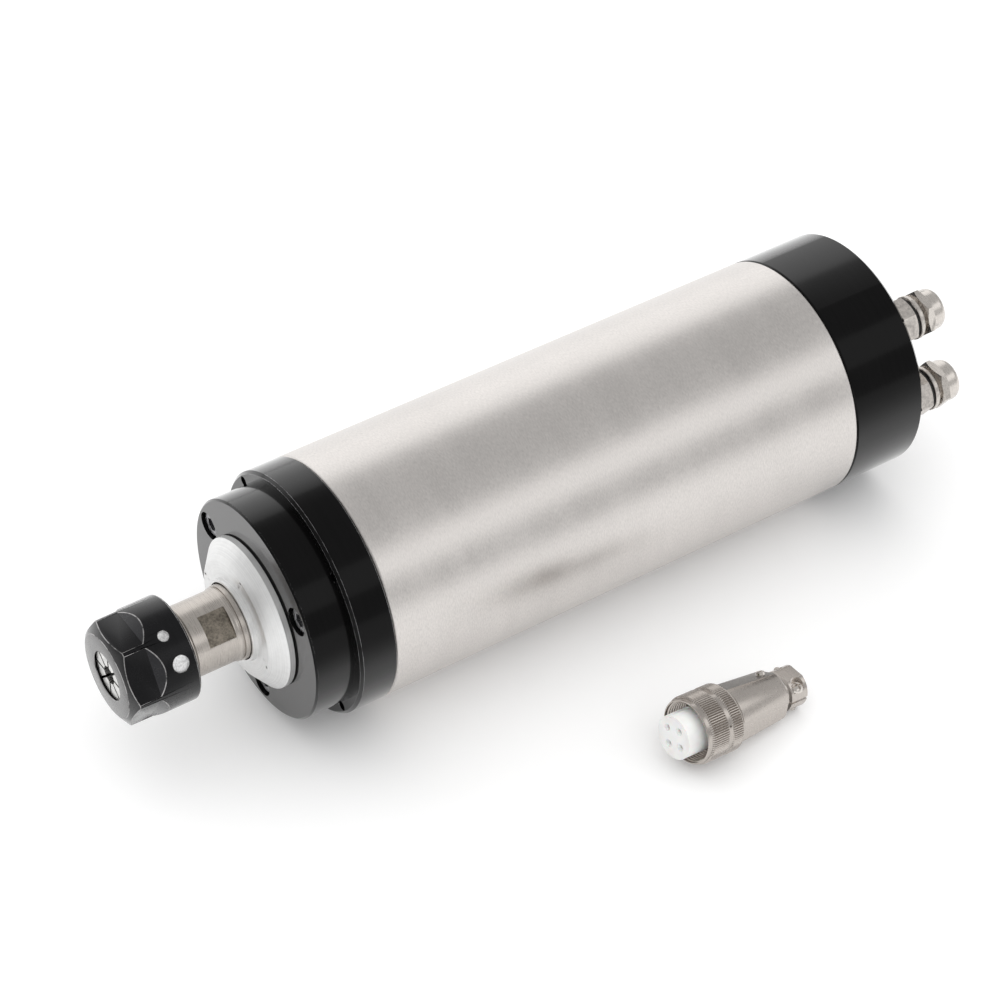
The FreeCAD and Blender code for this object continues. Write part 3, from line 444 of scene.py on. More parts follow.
def bright_aluminium():
    """The dust cap: pale, with fine rings left by the lathe tool."""
    f = Finish("bright_aluminium", Metallic=0.75)
    x, radius, angle = f.axes()
    rings = f.noise(f.grid(radius / (0.22 * mm), x / (0.4 * mm), angle * 0.7), detail=2.0)
    spots = f.noise(f.spot, scale=420.0, detail=3.0)
    share = f.ramp(rings * 0.7 + spots * 0.3, 0.3, 0.7)
    f.feed("Base Color", f.tinted((0.80, 0.80, 0.795), 0.90, 1.05, share))
    f.feed("Roughness", f.ramp(rings, 0.3, 0.7, 0.30, 0.42))
    return f.bump(rings, 0.012, 0.5)


def ground_steel():
    """The shaft: warm, ground round, with faint stains."""
    f = Finish("ground_steel", Metallic=1.0)
    x, radius, angle = f.axes()
    marks = f.noise(f.grid(x / (0.3 * mm), angle * 2.0, radius / (0.5 * mm)), detail=3.0)
    stains = f.noise(f.spot, scale=170.0, detail=3.0)
    share = f.ramp(marks * 0.6 + stains * 0.4, 0.3, 0.7)
    f.feed("Base Color", f.tinted((0.49, 0.455, 0.42), 0.86, 1.1, share))
    f.feed("Roughness", f.ramp(marks, 0.3, 0.7, 0.25, 0.34))
    return f.bump(marks, 0.005, 0.4)


def milled_flat():
    """The spanner flats on the shaft: rough and brownish, as the cutter left them."""
    f = Finish("milled_flat", Metallic=1.0)
    grit = f.noise(f.spot, scale=1500.0, detail=3.0, roughness=0.7)
    stains = f.noise(f.spot, scale=300.0, detail=2.0)
    share = f.ramp(grit * 0.6 + stains * 0.4, 0.35, 0.65)
    f.feed("Base Color", f.tinted((0.27, 0.24, 0.20), 0.5, 1.35, share))
    f.feed("Roughness", f.ramp(grit, 0.3, 0.7, 0.45, 0.62))
    return f.bump(grit, 0.03, 0.7)


def black_steel(name, tone=(0.0055, 0.0055, 0.0062), gloss=1.2):
    """Blackened steel with a soft sheen."""
    f = Finish(name, IOR=gloss, Coat_IOR=1.36, Coat_Roughness=0.22).sheen(0.15, 0.42)
    x, radius, angle = f.axes()
    grit = f.noise(f.spot, scale=2400.0, detail=2.0)
    marks = f.noise(f.grid(radius / (0.25 * mm), x / (0.4 * mm), angle * 0.8), detail=2.0)
    clouds = f.noise(f.spot, scale=180.0, detail=3.0)
    share = f.ramp(grit * 0.3 + marks * 0.4 + clouds * 0.3, 0.3, 0.7)
    f.feed("Base Color", f.tinted(tone, 0.75, 1.3, share))
    f.feed("Roughness", f.ramp(grit * 0.4 + clouds * 0.6, 0.3, 0.7, 0.2, 0.3))
    return f.bump(grit * 0.5 + marks * 0.5, 0.004, 0.4)


def bare_metal():
    """The bottom of a balancing hole, where the drill cut through the blackening."""
    f = Finish("bare_metal", Metallic=1.0)
    grit = f.noise(f.spot, scale=1300.0, detail=3.0, roughness=0.7)
    f.feed("Base Color", f.tinted((0.92, 0.92, 0.92), 0.72, 1.05, f.ramp(grit, 0.35, 0.65)))
    f.feed("Roughness", f.ramp(grit, 0.3, 0.7, 0.38, 0.55))
    return f.bump(grit, 0.03, 0.8)


def collet_steel():
    f = Finish("collet_steel", Metallic=1.0)
    x, radius, angle = f.axes()
    marks = f.noise(f.grid(radius / (0.2 * mm), x / (0.3 * mm), angle * 1.5), detail=2.0)
    spots = f.noise(f.spot, scale=700.0, detail=3.0)
    share = f.ramp(marks * 0.5 + spots * 0.5, 0.3, 0.7)
    f.feed("Base Color", f.tinted((0.74, 0.735, 0.72), 0.72, 1.1, share))
    f.feed("Roughness", f.ramp(marks, 0.3, 0.7, 0.26, 0.4))
    return f.bump(marks * 0.5 + spots * 0.5, 0.015, 0.6)


def nickel(name, place, mottle=0.0, tone=(0.66, 0.62, 0.58), rough=0.17):
    """Warm nickel plating, smooth on turned pieces and mottled on rough ones."""
    f = Finish(name, Metallic=1.0).centred(place)
    x, radius, angle = f.axes()
    marks = f.noise(f.grid(x / (0.25 * mm), angle * 1.2, radius / (0.25 * mm)), detail=2.0)
    spots = f.noise(f.spot, scale=1100.0, detail=3.0, roughness=0.65)
    share = f.ramp(marks * (0.7 - mottle * 0.6) + spots * (0.3 + mottle * 0.6), 0.32, 0.68)
    f.feed("Base Color", f.tinted(tone, 0.95 - mottle * 0.35, 1.03 + mottle * 0.07, share))
    f.feed("Roughness", f.ramp(spots, 0.3, 0.7, rough + mottle * 0.2, rough + 0.06 + mottle * 0.3))
    return f.bump(marks * 0.4 + spots * 0.6, 0.002 + mottle * 0.005, 0.4)


def white_plastic():
    f = Finish("white_plastic", IOR=1.5, Subsurface_Weight=0.15, Subsurface_Scale=0.0012)
    grain = f.noise(f.spot, scale=1800.0, detail=2.0)
    clouds = f.noise(f.spot, scale=150.0, detail=2.0)
    f.feed("Base Color", f.tinted((0.90, 0.90, 0.885), 0.95, 1.04, f.ramp(clouds, 0.3, 0.7)))
    f.feed("Roughness", f.ramp(grain, 0.3, 0.7, 0.30, 0.42))
    return f.bump(grain, 0.004, 0.4)


def seal_rubber():
    f = Finish("seal_rubber", IOR=1.45)
    grain = f.noise(f.spot, scale=2500.0, detail=3.0)
    f.feed("Base Color", f.tinted((0.005, 0.0045, 0.0045), 0.6, 1.6, f.ramp(grain, 0.3, 0.7)))
    f.feed("Roughness", f.ramp(grain, 0.3, 0.7, 0.42, 0.6))
    return f.bump(grain, 0.01, 0.6)


def plain_finish(name, colour, metal, rough, scale=700.0, stretch=1.0):
    """A finish for the pieces inside: its colour, broken up by a grain of its own size."""
    f = Finish(name, Metallic=metal)
    x, radius, angle = f.axes()
    grain = f.noise(f.grid(x * scale * stretch, radius * scale, angle * scale * 0.02), detail=3.0)
    spots = f.noise(f.spot, scale=scale * 0.4, detail=2.0)
    share = f.ramp(grain * 0.6 + spots * 0.4, 0.3, 0.7)
    f.feed("Base Color", f.tinted(colour, 0.8, 1.15, share))
    f.feed("Roughness", f.ramp(grain, 0.3, 0.7, rough - 0.06, rough + 0.08))
    return f.bump(grain, 0.01, 0.5)


# Where the pieces off the spin axis sit

def fitting_place(side):
    y, z = joints[side + "_nut_turn"]["pos_m"][1:]
    return Matrix.Translation((0, y, z))


def socket_place():
    low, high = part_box("power_socket_shell")
    return Matrix.Translation((0, (low.y + high.y) / 2, (low.z + high.z) / 2))


def plug_place():
    """The plug's axis, read from the joint of its ring, with the tilt that it lies at."""
    ring = joints["plug_ring_turn"]
    axis = Vector(ring["axis"])
    origin = Vector(ring["pos_m"]) - axis * 5.0 * mm
    turn = Matrix.Rotation(atan2(axis.y, axis.x), 4, "Z") @ Matrix.Rotation(asin(-axis.z), 4, "Y")
    return Matrix.Translation(origin) @ turn


def put(piece, place):
    piece.matrix_world = place @ piece.matrix_world
    return settle(piece)


# The spindle's body

def housing_tube():
    tube = turned("housing_tube_skin", [
        (ring_rear, 34.8), (tube_rear, 34.8), (tube_rear, 39.5), (tube_rear - 0.5, body_radius),
        (ring_rear + 0.5, body_radius), (ring_rear, 39.5)], 224)
    soften(tube, 0.12)
    fit(tube, [turned_steel()], "housing", ["housing_tube"])


def front_ring():
    ring = turned("front_ring_turned", [
        (0, 26.65), (20.7, 26.65), (20.7, 34.65), (ring_rear, 34.65), (ring_rear, 39.5),
        (ring_rear - 0.5, body_radius), (0.9, body_radius), (0, 39.1)], 224)
    hole = moved_out(disc("hole", -1, 13.5, 1.6, 32), ring_screw_circle, 0)
    cut(ring, around(hole, ring_screw_angles))
    soften(ring, 0.3, finishes=[black_anodised("black_anodised_ring"), edge_wear_and_painted_highlight("edge_wear_and_painted_highlight_ring")])
    fit(ring, [], "housing", ["front_ring"])


def nose_flange():
    flange = turned("nose_flange_turned", [
        (flange_front, 15.8), (-11, 15.8), (-11, 23.65), (19, 23.65), (19, 24.75), (23, 24.75),
        (23, 26.5), (0, 26.5), (0, flange_radius), (flange_front + 0.6, flange_radius),
        (flange_front, flange_radius - 0.6)], 224)
    seat = turned("seat", [(-15, 0), (-15, 4.6), (-7.2, 4.6), (-7.2, 2.65), (1, 2.65), (1, 0)], 48)
    cut(flange, around(moved_out(seat, flange_screw_circle, 0), flange_screw_angles))
    # Painted reflection: the faces looking forward get a lighter black than the rest of the flange, for the floor
    # that they mirror
    face = black_anodised("black_anodised_face_painted_reflection", (0.02, 0.019, 0.019), 1.2)
    soften(flange, 0.3, finishes=[black_anodised("black_anodised_flange"), face,
                                  edge_wear_and_painted_highlight("edge_wear_and_painted_highlight_flange")])
    faces_where(flange, on_front(flange_front), 1)
    fit(flange, [], "housing", ["nose_flange"])


def flange_screws():
    """Socket-head screws with a broken rim and a hexagon socket."""
    one = turned("nose_flange_screws_detailed", [
        (-12.2, 0), (-12.2, 3.7), (-11.7, 4.2), (-7.2, 4.2), (-7.2, 2.5), (9.5, 2.5), (10, 2.1),
        (10, 0)], 48)
    cut(one, hexagon("socket", -13, -9.7, 4.0, 0))
    soften(one, 0.12)
    screws = around(moved_out(one, flange_screw_circle, 0), flange_screw_angles)
    fit(screws, [plain_finish("screw_steel", (0.34, 0.34, 0.35), 1.0, 0.30, 1500.0)], "housing",
        ["nose_flange_screws"])


def dust_cap():
    cap = turned("dust_cap_turned", [
        (-11, 12.65), (-11, 15.4), (-13.7, 15.4), (-13.7, 24.75), (-15.6, 24.75), (-19.9, 19.4),
        (-19.9, 13.6), (-21.7, 13.6), (-21.7, 12.65)], 192)
    pin = moved_out(disc("pin", -21, -17.5, 0.5, 20), 18.55, 0)
    cut(cap, around(pin, [13.8, 103.8, 198.8, 283.8]))
    dimple = turned("dimple", [(-20.5, 0), (-19.5, 0), (-19.9, 0.75), (-20.5, 0.75)], 24)
    cut(cap, around(moved_out(dimple, 16.3, 0), [12.8, 102.8, 193.4, 282.8]))
    soften(cap, 0.13)
    fit(cap, [bright_aluminium()], "rotor", ["dust_cap"])


def spindle_shaft():
    """The shaft with its thread, its neck between two stepped rings and its two spanner flats."""
    shaft = turned("spindle_shaft_ground", [
        (shaft_front, 9.93), (shaft_front, 11.2), (-53.7, 11.75), (-40.7, 11.75), (-40.5, 12.4),
        (-39.6, 12.4), (-38.9, shaft_neck), (-25.2, shaft_neck), (-24.6, 11.95), (-23.9, 11.95),
        (-23.8, 11.65), (-23.4, 11.65), (-23.3, 12.2), (-19.9, 12.35), (19, 12.35), (19, 15.5),
        (24, 15.5), (24, 11), (147.7, 11), (147.7, 9.5), (161.6, 9.5), (161.6, 7.35),
        (186.5, 7.35), (187.1, 6.75), (187.1, 0), (-18.7, 0), (-21.7, 6), (-31.7, 6),
        (-31.7, 6.77)], 144)
    flat = block("flat", -34.5, -25.6, 10.4, 20, -20, 20)
    cut(shaft, turned_by(copied(flat, "flat_back"), shaft_flat_angle + 180),
        turned_by(flat, shaft_flat_angle))
    soften(shaft, 0.12)
    shaft = merged(shaft, ridge("thread", -53.2, 8, 1.5, 11.5, 12.5))
    outward = place_at(0, 1, shaft_flat_angle).normalized()

    def on_flat(middle, normal):
        bottom = abs(normal.dot(outward)) > 0.99 and abs(middle.dot(outward)) < 10.6
        end = abs(normal.x) > 0.7 and middle.yz.length > 10.3
        return -34.7 < middle.x < -25.4 and (bottom or end)

    faces_where(shaft, on_flat, 1)
    fit(shaft, [ground_steel(), milled_flat()], "rotor", ["spindle_shaft"])


def nut_flat():
    """What one spanner flat takes off the nut: a block with a sloped run-out."""
    cutter = drawn("flat", [
        (nut_front - 5, 15), (run_out_start, 15), (run_out_start + 15 / tan(radians(32)), 30),
        (nut_front - 5, 30)])
    bpy.ops.mesh.edge_face_add()
    bpy.ops.transform.translate(value=(0, -15 * mm, 0))
    bpy.ops.mesh.extrude_region_move(TRANSFORM_OT_translate={"value": (0, 30 * mm, 0)})
    tidy_mesh()
    return cutter


def collet_nut():
    """The nut: six spanner flats with crescent run-outs and two balancing holes in its rim."""
    nut = turned("collet_nut_milled", [
        (nut_front, 7.95), (nut_front, 13.6), (nut_front + 2.1, nut_radius),
        (nut_back - 0.6, nut_radius), (nut_back, nut_radius - 0.6), (nut_back, 12.58),
        (-54.6, 12.58), (-54.6, 10.9), (-60.6, 10.9), (-63.6, 9.2), (-63.6, 7.95)], 192)
    cut(nut, around(nut_flat(), [0, 60, 120, 180, 240, 300]))
    for x, angle, radius in balancing_holes:
        bottom = nut_radius - 1.2
        drill = turned("drill", [
            (bottom - radius * 0.25, 0), (bottom, radius), (20, radius), (20, 0)], 40)
        drill.matrix_world = (Matrix.Translation((x * mm, 0, 0))
                              @ Matrix.Rotation(radians(angle), 4, "X")
                              @ Matrix.Rotation(pi / 2, 4, "Z"))
        cut(nut, settle(drill))
    # Painted reflection: the front face and the sloped run-outs get lighter blacks than the rest of the nut, by
    # the way they face
    face = black_steel("black_steel_face_painted_reflection", (0.05, 0.047, 0.047), 1.25)
    run_out = black_steel("black_steel_run_out_painted_reflection", (0.02, 0.02, 0.022), 1.3)
    soften(nut, 0.17, finishes=[black_steel("black_steel_nut"), bare_metal(), face, run_out,
                                edge_wear_and_painted_highlight("edge_wear_and_painted_highlight_nut", (0.42, 0.41, 0.41))], clamp=False)
    faces_where(nut, lambda middle, normal: abs(middle.x - run_out_start) < 0.25
                and middle.yz.length < nut_radius - 0.1, 0)
    faces_where(nut, on_front(nut_front), 2)
    faces_where(nut, lambda middle, normal: -0.95 < normal.x < -0.3
                and middle.x > run_out_start - 1 and middle.yz.length > 14.6, 3)
    for x, angle, radius in balancing_holes:
        centre = place_at(x, nut_radius, angle) / mm
        faces_where(nut, lambda middle, normal: (middle - centre).length < radius + 1.5
                    and middle.yz.length < nut_radius - 0.2, 1)
    fit(nut, [], "nut_body", ["collet_nut"])


def collet():
    """The spring collet, slit from its front and from its back by turns."""
    piece = turned("collet_slotted", [
        (-63.2, 3), (-63.2, 9.0), (-60.6, 10.5), (-60.6, 9.2), (-58.6, 9.2), (-58.6, 10.5),
        (-31.7, 6.72), (-31.7, 3)], 144)
    for start, end, first_angle in ((-65, -37.7, 0), (-52.6, -30, 22.5)):
        slot = block("slot", start, end, 0, 12, -0.4, 0.4)
        cut(piece, *[turned_by(copied(slot, "slit"), first_angle + i * 45) for i in range(8)])
        bpy.data.objects.remove(slot)
    soften(piece, 0.1)
    fit(piece, [collet_steel()], "collet_body", ["collet"])


def rear_cap():
    cap = turned("rear_cap_turned", [
        (182.1, 28), (206, 28), (206, 0), (cap_rear, 0), (cap_rear, 39.1),
        (cap_rear - 0.9, body_radius), (tube_rear + 0.5, body_radius), (tube_rear, 39.5),
        (tube_rear, 34.65), (182.1, 34.65)], 224)
    seat = turned("seat", [
        (180, 0), (180, 2.15), (208.4, 2.15), (208.4, 3.9), (214, 3.9), (214, 0)], 48)
    cut(cap, around(moved_out(seat, cap_screw_circle, 0), cap_screw_angles))
    for side in ("inlet", "outlet"):
        cut(cap, put(disc("hole", 205, 214, 4.95, 48), fitting_place(side)))
        cut(cap, put(disc("hole", 181, 207, 2.4, 32), fitting_place(side)))
    cut(cap, put(disc("hole", 205, 214, 9.15, 64), socket_place()))
    soften(cap, 0.28, finishes=[black_anodised("black_anodised_cap"), edge_wear_and_painted_highlight("edge_wear_and_painted_highlight_cap")])
    fit(cap, [], "housing", ["rear_cap"])


def cap_screws():
    one = turned("rear_cap_screws_detailed", [
        (212.4, 0), (212.4, 3.1), (212.0, 3.5), (208.4, 3.5), (208.4, 2), (173.6, 2),
        (173.2, 1.6), (173.2, 0)], 48)
    cut(one, hexagon("socket", 210.4, 214, 3.0, 0))
    soften(one, 0.12)
    screws = around(moved_out(one, cap_screw_circle, 0), cap_screw_angles)
    fit(screws, [black_steel("black_screws", (0.03, 0.03, 0.032), 1.35)], "housing",
        ["rear_cap_screws"])


# Water fittings on the rear face

def six_sided(name, start, end, across_flats, corner_angle, bore, chamfer_front, chamfer_rear):
    """A hexagon bar with its corners turned off at one or both ends, bored through."""
    piece = hexagon(name, start, end, across_flats, corner_angle)
    corner = across_flats / 2 / cos(pi / 6) + 0.1
    low = across_flats / 2 - 0.1
    slope = (corner - low) * 0.55
    front = slope if chamfer_front else 0.0
    rear = slope if chamfer_rear else 0.0
    first = low if chamfer_front else corner
    last = low if chamfer_rear else corner
    shape = turned("turned_off", [
        (start - 0.01, bore), (start - 0.01, first), (start + front, corner),
        (end - rear, corner), (end + 0.01, last), (end + 0.01, bore)], 96)
    apply_step(piece, "BOOLEAN", operation="INTERSECT", solver="EXACT", object=shape)
    bpy.data.objects.remove(shape)
    return piece


def water_fitting(side, corner_angle):
    place = fitting_place(side)
    base = six_sided(side + "_fitting_body", 213.0, 218.4, 14.0, corner_angle, 2.0, False, True)
    neck = turned("neck", [
        (206, 2), (206, 4.8), (213.1, 4.8), (213.1, 5.6), (219.5, 5.6), (219.5, 7.2), (219.7, 7.4),
        (220.8, 7.4), (221, 7.2), (221, 5.2), (225, 5.2), (225, 3.0), (226.1, 3.0), (226.4, 2.7),
        (226.4, 2)], 96)
    cut(base, neck, add=True)
    soften(base, 0.1)
    fit(put(base, place), [nickel("nickel_base_" + side, place, 0.7)], "housing",
        ["water_" + side + "_body"])
    seal = turned(side + "_fitting_seal", [
        (218.4, 5.75), (218.4, 6.6), (218.6, 6.8), (219.3, 6.8), (219.5, 6.6), (219.5, 5.75)], 96)
    soften(seal, 0.1)
    fit(put(seal, place), [seal_rubber()], "housing", ["water_" + side + "_seal"])
    ferrule = turned(side + "_hose_ring", [
        (226.6, 4.1), (228.2, 4.1), (228.2, 4.7), (228.0, 4.9), (226.8, 4.9), (226.6, 4.7)], 64)
    soften(ferrule, 0.08)
    fit(put(ferrule, place), [nickel("nickel_ring_" + side, place)], side + "_ferrule_body",
        ["water_" + side + "_ferrule"])
    nut = six_sided(side + "_hose_nut", 222.5, 225.3, 14.2, corner_angle, 5.28, True, True)
    dome = turned("dome", [
        (222.5, 5.28), (222.5, 6.9), (228.3, 6.9), (229.0, 6.75), (229.7, 6.35), (230.2, 5.7),
        (230.5, 4.9), (230.5, 4.4), (230.2, 4.1), (228.2, 4.1), (228.2, 5.28)], 96)
    cut(nut, dome, add=True)
    soften(nut, 0.1)
    fit(put(nut, place), [nickel("nickel_nut_" + side, place, 0.3)], side + "_nut_body",
        ["water_" + side + "_nut"])


# Power socket on the rear face

def power_socket():
    place = socket_place()
    shell = turned("power_socket_threaded", [
        (200, 7.45), (200, 9.0), (213, 9.0), (213, 12.2), (214.7, 12.2), (215.2, 11.7),
        (215.2, 9.0), (224.1, 9.0), (224.5, 8.6), (224.5, 7.75), (224.2, 7.45)], 128)
    cut(shell, block("keyway", 219, 226, -1.2, 1.2, 7.0, 8.2))
    soften(shell, 0.1)
    thread = ridge("thread", 216.2, 7, 1.0, 8.85, 9.5)
    fit(put(merged(shell, thread), place), [nickel("nickel_socket", place, 0.05)], "housing",
        ["power_socket_shell"])
    insulator = disc("power_socket_insulator_moulded", 209, 215, 7.3, 96)
    cut(insulator, *[moved_out(disc("hole", 208, 216, 1.15, 24), pin_circle, i * 90)
                     for i in range(4)])
    soften(insulator, 0.12)
    fit(put(insulator, place), [white_plastic()], "housing", ["power_socket_insulator"])
    pin = turned("power_socket_pins_turned", [
        (200, 0), (200, 1.0), (222.2, 1.0), (222.7, 0.8), (223, 0.4), (223, 0)], 24)
    shade(pin, 50)
    others = [moved_out(copied(pin, "pin"), pin_circle, i * 90) for i in range(1, 4)]
    pins = merged(moved_out(pin, pin_circle, 0), *others)
    fit(put(pins, place), [plain_finish("contact_brass", (0.80, 0.58, 0.26), 1.0, 0.25, 1500.0)],
        "housing", ["power_socket_pins"])


# Plug

def plug_insulator(place):
    """The white insulator with its keyway, and the four contacts in its holes."""
    insulator = disc("plug_insulator_moulded", 0, 20, 7.1, 128)
    hole = turned("hole", [
        (-1, 0), (-1, 1.25), (0.35, 1.25), (0.9, 0.8), (6, 0.8), (6, 1.15), (21, 1.15),
        (21, 0)], 32)
    cut(insulator, around(moved_out(hole, contact_circle, 0), contact_angles))
    cut(insulator, turned_by(block("keyway", -1, 8, -1, 1, 6.2, 8), -34))
    soften(insulator, 0.2, 3)
    fit(put(insulator, place), [white_plastic()], "housing", ["plug_insulator"])
    one = turned("plug_contacts_turned", [
        (6, 0.7), (16.4, 0.7), (16.8, 0.75), (16.8, 1.0), (16.6, 1.1), (6.2, 1.1), (6, 0.9)], 24)
    contacts = around(moved_out(shade(one, 30), contact_circle, 0), contact_angles)
    fit(put(contacts, place), [plain_finish("plug_brass", (0.80, 0.58, 0.26), 1.0, 0.25, 1500.0)],
        "housing", ["plug_contacts"])


def plug_ring(place):
    """The coupling ring: two knurled grips with a smooth groove between them, and its thread."""
    ring = turned("plug_ring_knurled", [
        (5, 9.9), (5, 10.2), (5.2, 10.4), (6.5, 10.4), (7.0, 11), (12.9, 11), (13.3, 10.6),
        (14.7, 10.6), (15.1, 11), (18.7, 11), (19.2, 10.5), (19.2, 8.9), (15.3, 8.9),
        (15.3, 9.9)], knurl_steps)
    for vertex in ring.data.vertices:
        radius = vertex.co.yz.length / mm
        step = round(degrees(atan2(vertex.co.z, vertex.co.y)) / 360 * knurl_steps)
        if radius > 10.9 and step % 3 == 0:
            vertex.co.yz = vertex.co.yz * (1 - knurl_depth / radius)
    dot = moved_out(upright(disc("dot", -1.5, 1.5, 0.35, 16)), 10.6, 90)
    cut(ring, around(moved(dot, (14.0 * mm, 0, 0)), [60, 150]))
    shade(ring, 28)
    thread = ridge("thread", 5.6, 9, 1.0, 9.95, 9.5)
    plating = nickel("nickel_plug_ring", place, 0.15, (0.50, 0.46, 0.425))
    fit(put(merged(ring, thread), place), [plating], "plug_ring", ["plug_coupling_ring"])


def plug_shell(place):
    """The tapered shell with three flats and the lower half of the cable clamp."""
    shell = turned("plug_shell_tapered", [
        (12.8, 7.25), (12.8, 9.1), (15, 9.1), (15, 8.5), (19.7, 8.5), (19.7, 9.4), shell_front,
        shell_rear, (40.5, 7.75), (40.5, 3.6), (39.1, 3.6), (39.1, 6.0), (20.3, 6.6),
        (20.3, 7.25)], 128)
    taper = atan2(shell_front[1] - shell_rear[1], shell_rear[0] - shell_front[0])
    for side in shell_flat_angles:
        flat = block("flat", -3, 45, 0, 20, -20, 20)
        flat.matrix_world = (Matrix.Rotation(radians(side), 4, "X")
                             @ Matrix.Translation((19.5 * mm, 8.9 * mm, 0))
                             @ Matrix.Rotation(-taper, 4, "Z"))
        settle(flat)
        cut(flat, disc("keep", -8, 19.6, 60, 48))
        cut(shell, flat)
    hole = upright(disc("lock_hole", 0, 12, 1.45, 24))
    hole = moved(hole, (lock_screw_station * mm, 0, 6.6 * mm))
    # The shell is flat underneath, where it would otherwise sink into the floor
    under = block("under_the_floor", 70, 140, -130, -60, -60, 0.01 - body_radius)
    under.matrix_world = place.inverted()
    cut(shell, turned_by(hole, shell_flat_angles[0] - 90), settle(under))
    soften(shell, 0.12)
    shell = merged(shell, turned_by(clamp_half("plug_clamp_lower", 5.22), 180))
    # Painted shade: one of the three flats gets the shell's plating at 0.42 of its tone
    outward = place_at(0, 1, shell_flat_angles[0]).normalized()
    faces_where(shell, lambda middle, normal: 20.2 < middle.x < 40.3
                and normal.dot(outward) > 0.994, 1)
    plated = [nickel("nickel_plug_shell", place, 0.0, plug_tone, 0.26),
              nickel("nickel_plug_flat_painted_shade", place, 0.2, [0.42 * c for c in plug_tone], 0.22)]
    fit(put(shell, place), plated, "housing", ["plug_shell"])


def clamp_half(name, crown):
    """A half of the cable clamp: a saddle whose flat crown lies this far from the axis, with a
    pocket for the head of one screw and a hole for the end of the other."""
    half = sleeve(name, 40.5, 44.0, 3.6, 5.2)
    saddle = disc("saddle", 42.9, 49.4, 6.6, 96)
    cut(saddle, block("over", 40, 52, -12, 12, crown, 12))
    cut(half, saddle, add=True)
    cut(half, disc("bore", 40, 52, 3.3, 96), block("below", 39, 52, -12, 12, -12, 0.4))
    for y, width in ((-clamp_screw_offset, 2.35), (clamp_screw_offset, 1.3)):
        hole = turned("hole", [
            (-8, 0), (-8, 1.3), (3.0, 1.3), (3.0, width), (12, width), (12, 0)], 32)
        cut(half, moved(upright(hole), (clamp_screw_station * mm, y * mm, 0)))
    return soften(half, 0.15)


def plug_clamp(place):
    upper = clamp_half("plug_clamp_upper", 6.0)
    fit(put(upper, place), [nickel("nickel_clamp", place, 0.1, plug_tone)], "housing",
        ["plug_cable_clamp"])


def plug_screws(place):
    """Two cross-slotted screws that close the clamp from opposite sides, and the lock screw."""
    one = turned("plug_clamp_screws_detailed", [
        (3.1, 0), (3.1, 2.0), (3.8, 1.95), (4.5, 1.5), (4.85, 0.7), (4.9, 0)], 40)
    cut(one, block("cross", 4.1, 6, -1.6, 1.6, -0.3, 0.3),
        block("cross", 4.1, 6, -0.3, 0.3, -1.6, 1.6))
    shank = turned("shank", [(-4.7, 0), (-4.7, 0.9), (-4.4, 1.15), (3.2, 1.15), (3.2, 0)], 32)
    soften(one, 0.06)
    screw = upright(merged(one, shade(shank, 40)))
    screw = moved(screw, (clamp_screw_station * mm, -clamp_screw_offset * mm, 0))
    screws = merged(screw, turned_by(copied(screw, "second"), 180))
    fit(put(screws, place), [nickel("nickel_screws", place)], "housing", ["plug_clamp_screws"])
    lock = upright(disc("plug_lock_screw_slotted", 0, 1.9, 1.35, 32))
    cut(lock, block("slot", -2, 2, -0.22, 0.22, 1.2, 3))
    soften(lock, 0.1)
    lock = moved(lock, (lock_screw_station * mm, 0, 6.5 * mm))
    lock = turned_by(lock, shell_flat_angles[0] - 90)
    fit(put(lock, place), [nickel("nickel_lock_screw", place)], "housing", ["plug_lock_screw"])


housing_tube()
front_ring()
nose_flange()
flange_screws()
dust_cap()
spindle_shaft()
collet_nut()
collet()
rear_cap()
cap_screws()
water_fitting("inlet", 131.9)
water_fitting("outlet", 122.5)
power_socket()
lying = plug_place()
for make in (plug_insulator, plug_ring, plug_shell, plug_clamp, plug_screws):
    make(lying)
# Left out of reflections, because their dark mirror image on the tube isn't in the photograph
for name in ("plug_shell_tapered", "plug_clamp_upper"):
    bpy.data.objects[name].visible_glossy = False

# The pieces inside keep their solids and get the finish of their material slot
inner_finishes = {
    "bright_aluminium": plain_finish("inner_aluminium", (0.70, 0.70, 0.70), 1.0, 0.35),
    "ground_steel": plain_finish("inner_ground_steel", (0.52, 0.51, 0.50), 1.0, 0.28, 1200.0),
    "black_steel": plain_finish("inner_black_steel", (0.03, 0.03, 0.032), 0.0, 0.38),
    "bearing_steel": plain_finish("inner_bearing_steel", (0.62, 0.62, 0.63), 1.0, 0.16, 1600.0),
    "zinc_steel": plain_finish("inner_zinc", (0.62, 0.63, 0.60), 1.0, 0.32, 900.0),
    "seal_rubber": plain_finish("inner_rubber", (0.015, 0.015, 0.015), 0.0, 0.55, 1500.0),
    "lamination_steel": plain_finish("inner_laminations", (0.30, 0.31, 0.33), 1.0, 0.42, 900.0,
                                     stretch=2.2),
    "winding_copper": plain_finish("inner_windings", (0.55, 0.20, 0.07), 0.8, 0.35, 1100.0,
                                   stretch=0.3),
    "contact_brass": plain_finish("inner_brass", (0.78, 0.56, 0.25), 1.0, 0.27, 1300.0),
    "cage_resin": plain_finish("inner_cage_resin", (0.32, 0.20, 0.10), 0.0, 0.45),
    "lead_insulation": plain_finish("inner_leads", (0.45, 0.03, 0.02), 0.0, 0.42, 500.0),
    "brushed_stainless": plain_finish("inner_stainless", (0.60, 0.58, 0.56), 1.0, 0.33, 1100.0),
    "nickel_plate": plain_finish("inner_nickel", (0.66, 0.62, 0.57), 1.0, 0.26, 900.0),
}
for subpart in frame["record"]["subparts"]:
    node = frame["nodes"][subpart["node"]]
    if not node.hide_render:
        node.data.materials.clear()
        node.data.materials.append(inner_finishes[subpart["material_slot"]].material)


# Floor, light and camera

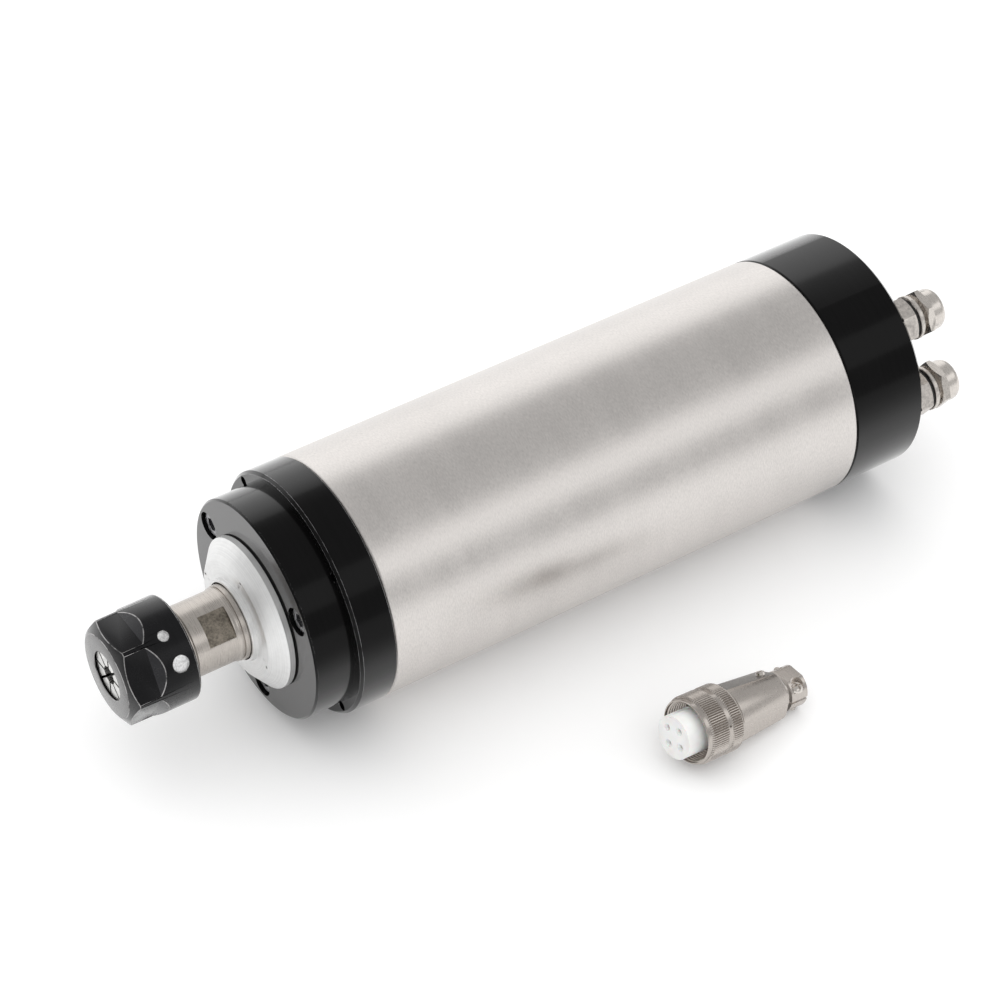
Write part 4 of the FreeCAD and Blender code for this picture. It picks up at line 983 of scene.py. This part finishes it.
def floor():
    below = -(body_radius + 0.05) * mm
    bpy.ops.mesh.primitive_plane_add(size=8, location=(0, 0, below))
    plane = named("floor")
    bpy.ops.object.mode_set(mode="EDIT")
    bpy.ops.mesh.subdivide(number_cuts=3)
    bpy.ops.object.mode_set(mode="OBJECT")
    f = Finish("pale_floor", Roughness=0.9, IOR=1.2, Emission_Strength=0.1)
    clouds = f.noise(f.spot, scale=3.0, detail=1.0)
    f.feed("Base Color", f.tinted((0.93, 0.93, 0.93), 0.995, 1.005, clouds))
    f.feed("Emission Color", f.tinted((1.0, 1.0, 1.0), 0.995, 1.0, clouds))
    settle(plane)
    plane.data.materials.append(f.material)


def soft_box(name, position, target, width, height, brightness, glossy=True):
    """A flat lamp that faces a point, as bright all over as its brightness says."""
    bpy.ops.object.light_add(type="AREA", location=position)
    lamp = named(name)
    lamp.data.shape = "RECTANGLE"
    lamp.data.size = width
    lamp.data.size_y = height
    lamp.data.energy = brightness * width * height * pi
    lamp.rotation_euler = (Vector(target) - Vector(position)).to_track_quat("-Z", "Y").to_euler()
    lamp.visible_glossy = glossy
    lamp.visible_camera = False


def studio():
    world = bpy.data.worlds.new("studio")
    bpy.context.scene.world = world
    world.use_nodes = True
    world.node_tree.nodes["Background"].inputs["Color"].default_value = (1, 1, 1, 1)
    world.node_tree.nodes["Background"].inputs["Strength"].default_value = 0.58
    middle = (0.08, 0, 0)
    soft_box("lamp_behind", (0.1, 2.2, 1.06), middle, 5.0, 2.2, 0.76)
    soft_box("lamp_front", (0.9, -1.6, 1.25), middle, 4.0, 0.9, 0.7)
    soft_box("lamp_above", (0.1, 0.0, 2.4), middle, 4.5, 4.5, 0.85, glossy=False)


def camera():
    """The photographed view, from the left, the front and above."""
    data = bpy.data.cameras.new("camera")
    data.lens = 116.605
    data.sensor_width = 36.0
    view = bpy.data.objects.new("camera", data)
    view.location = (-0.337985, -0.626660, 0.684566)
    view.rotation_euler = (radians(47.667), 0.0, radians(-33.420))
    bpy.context.scene.collection.objects.link(view)
    bpy.context.scene.camera = view


floor()
studio()
camera()
bpy.context.scene.view_settings.view_transform = "Standard"
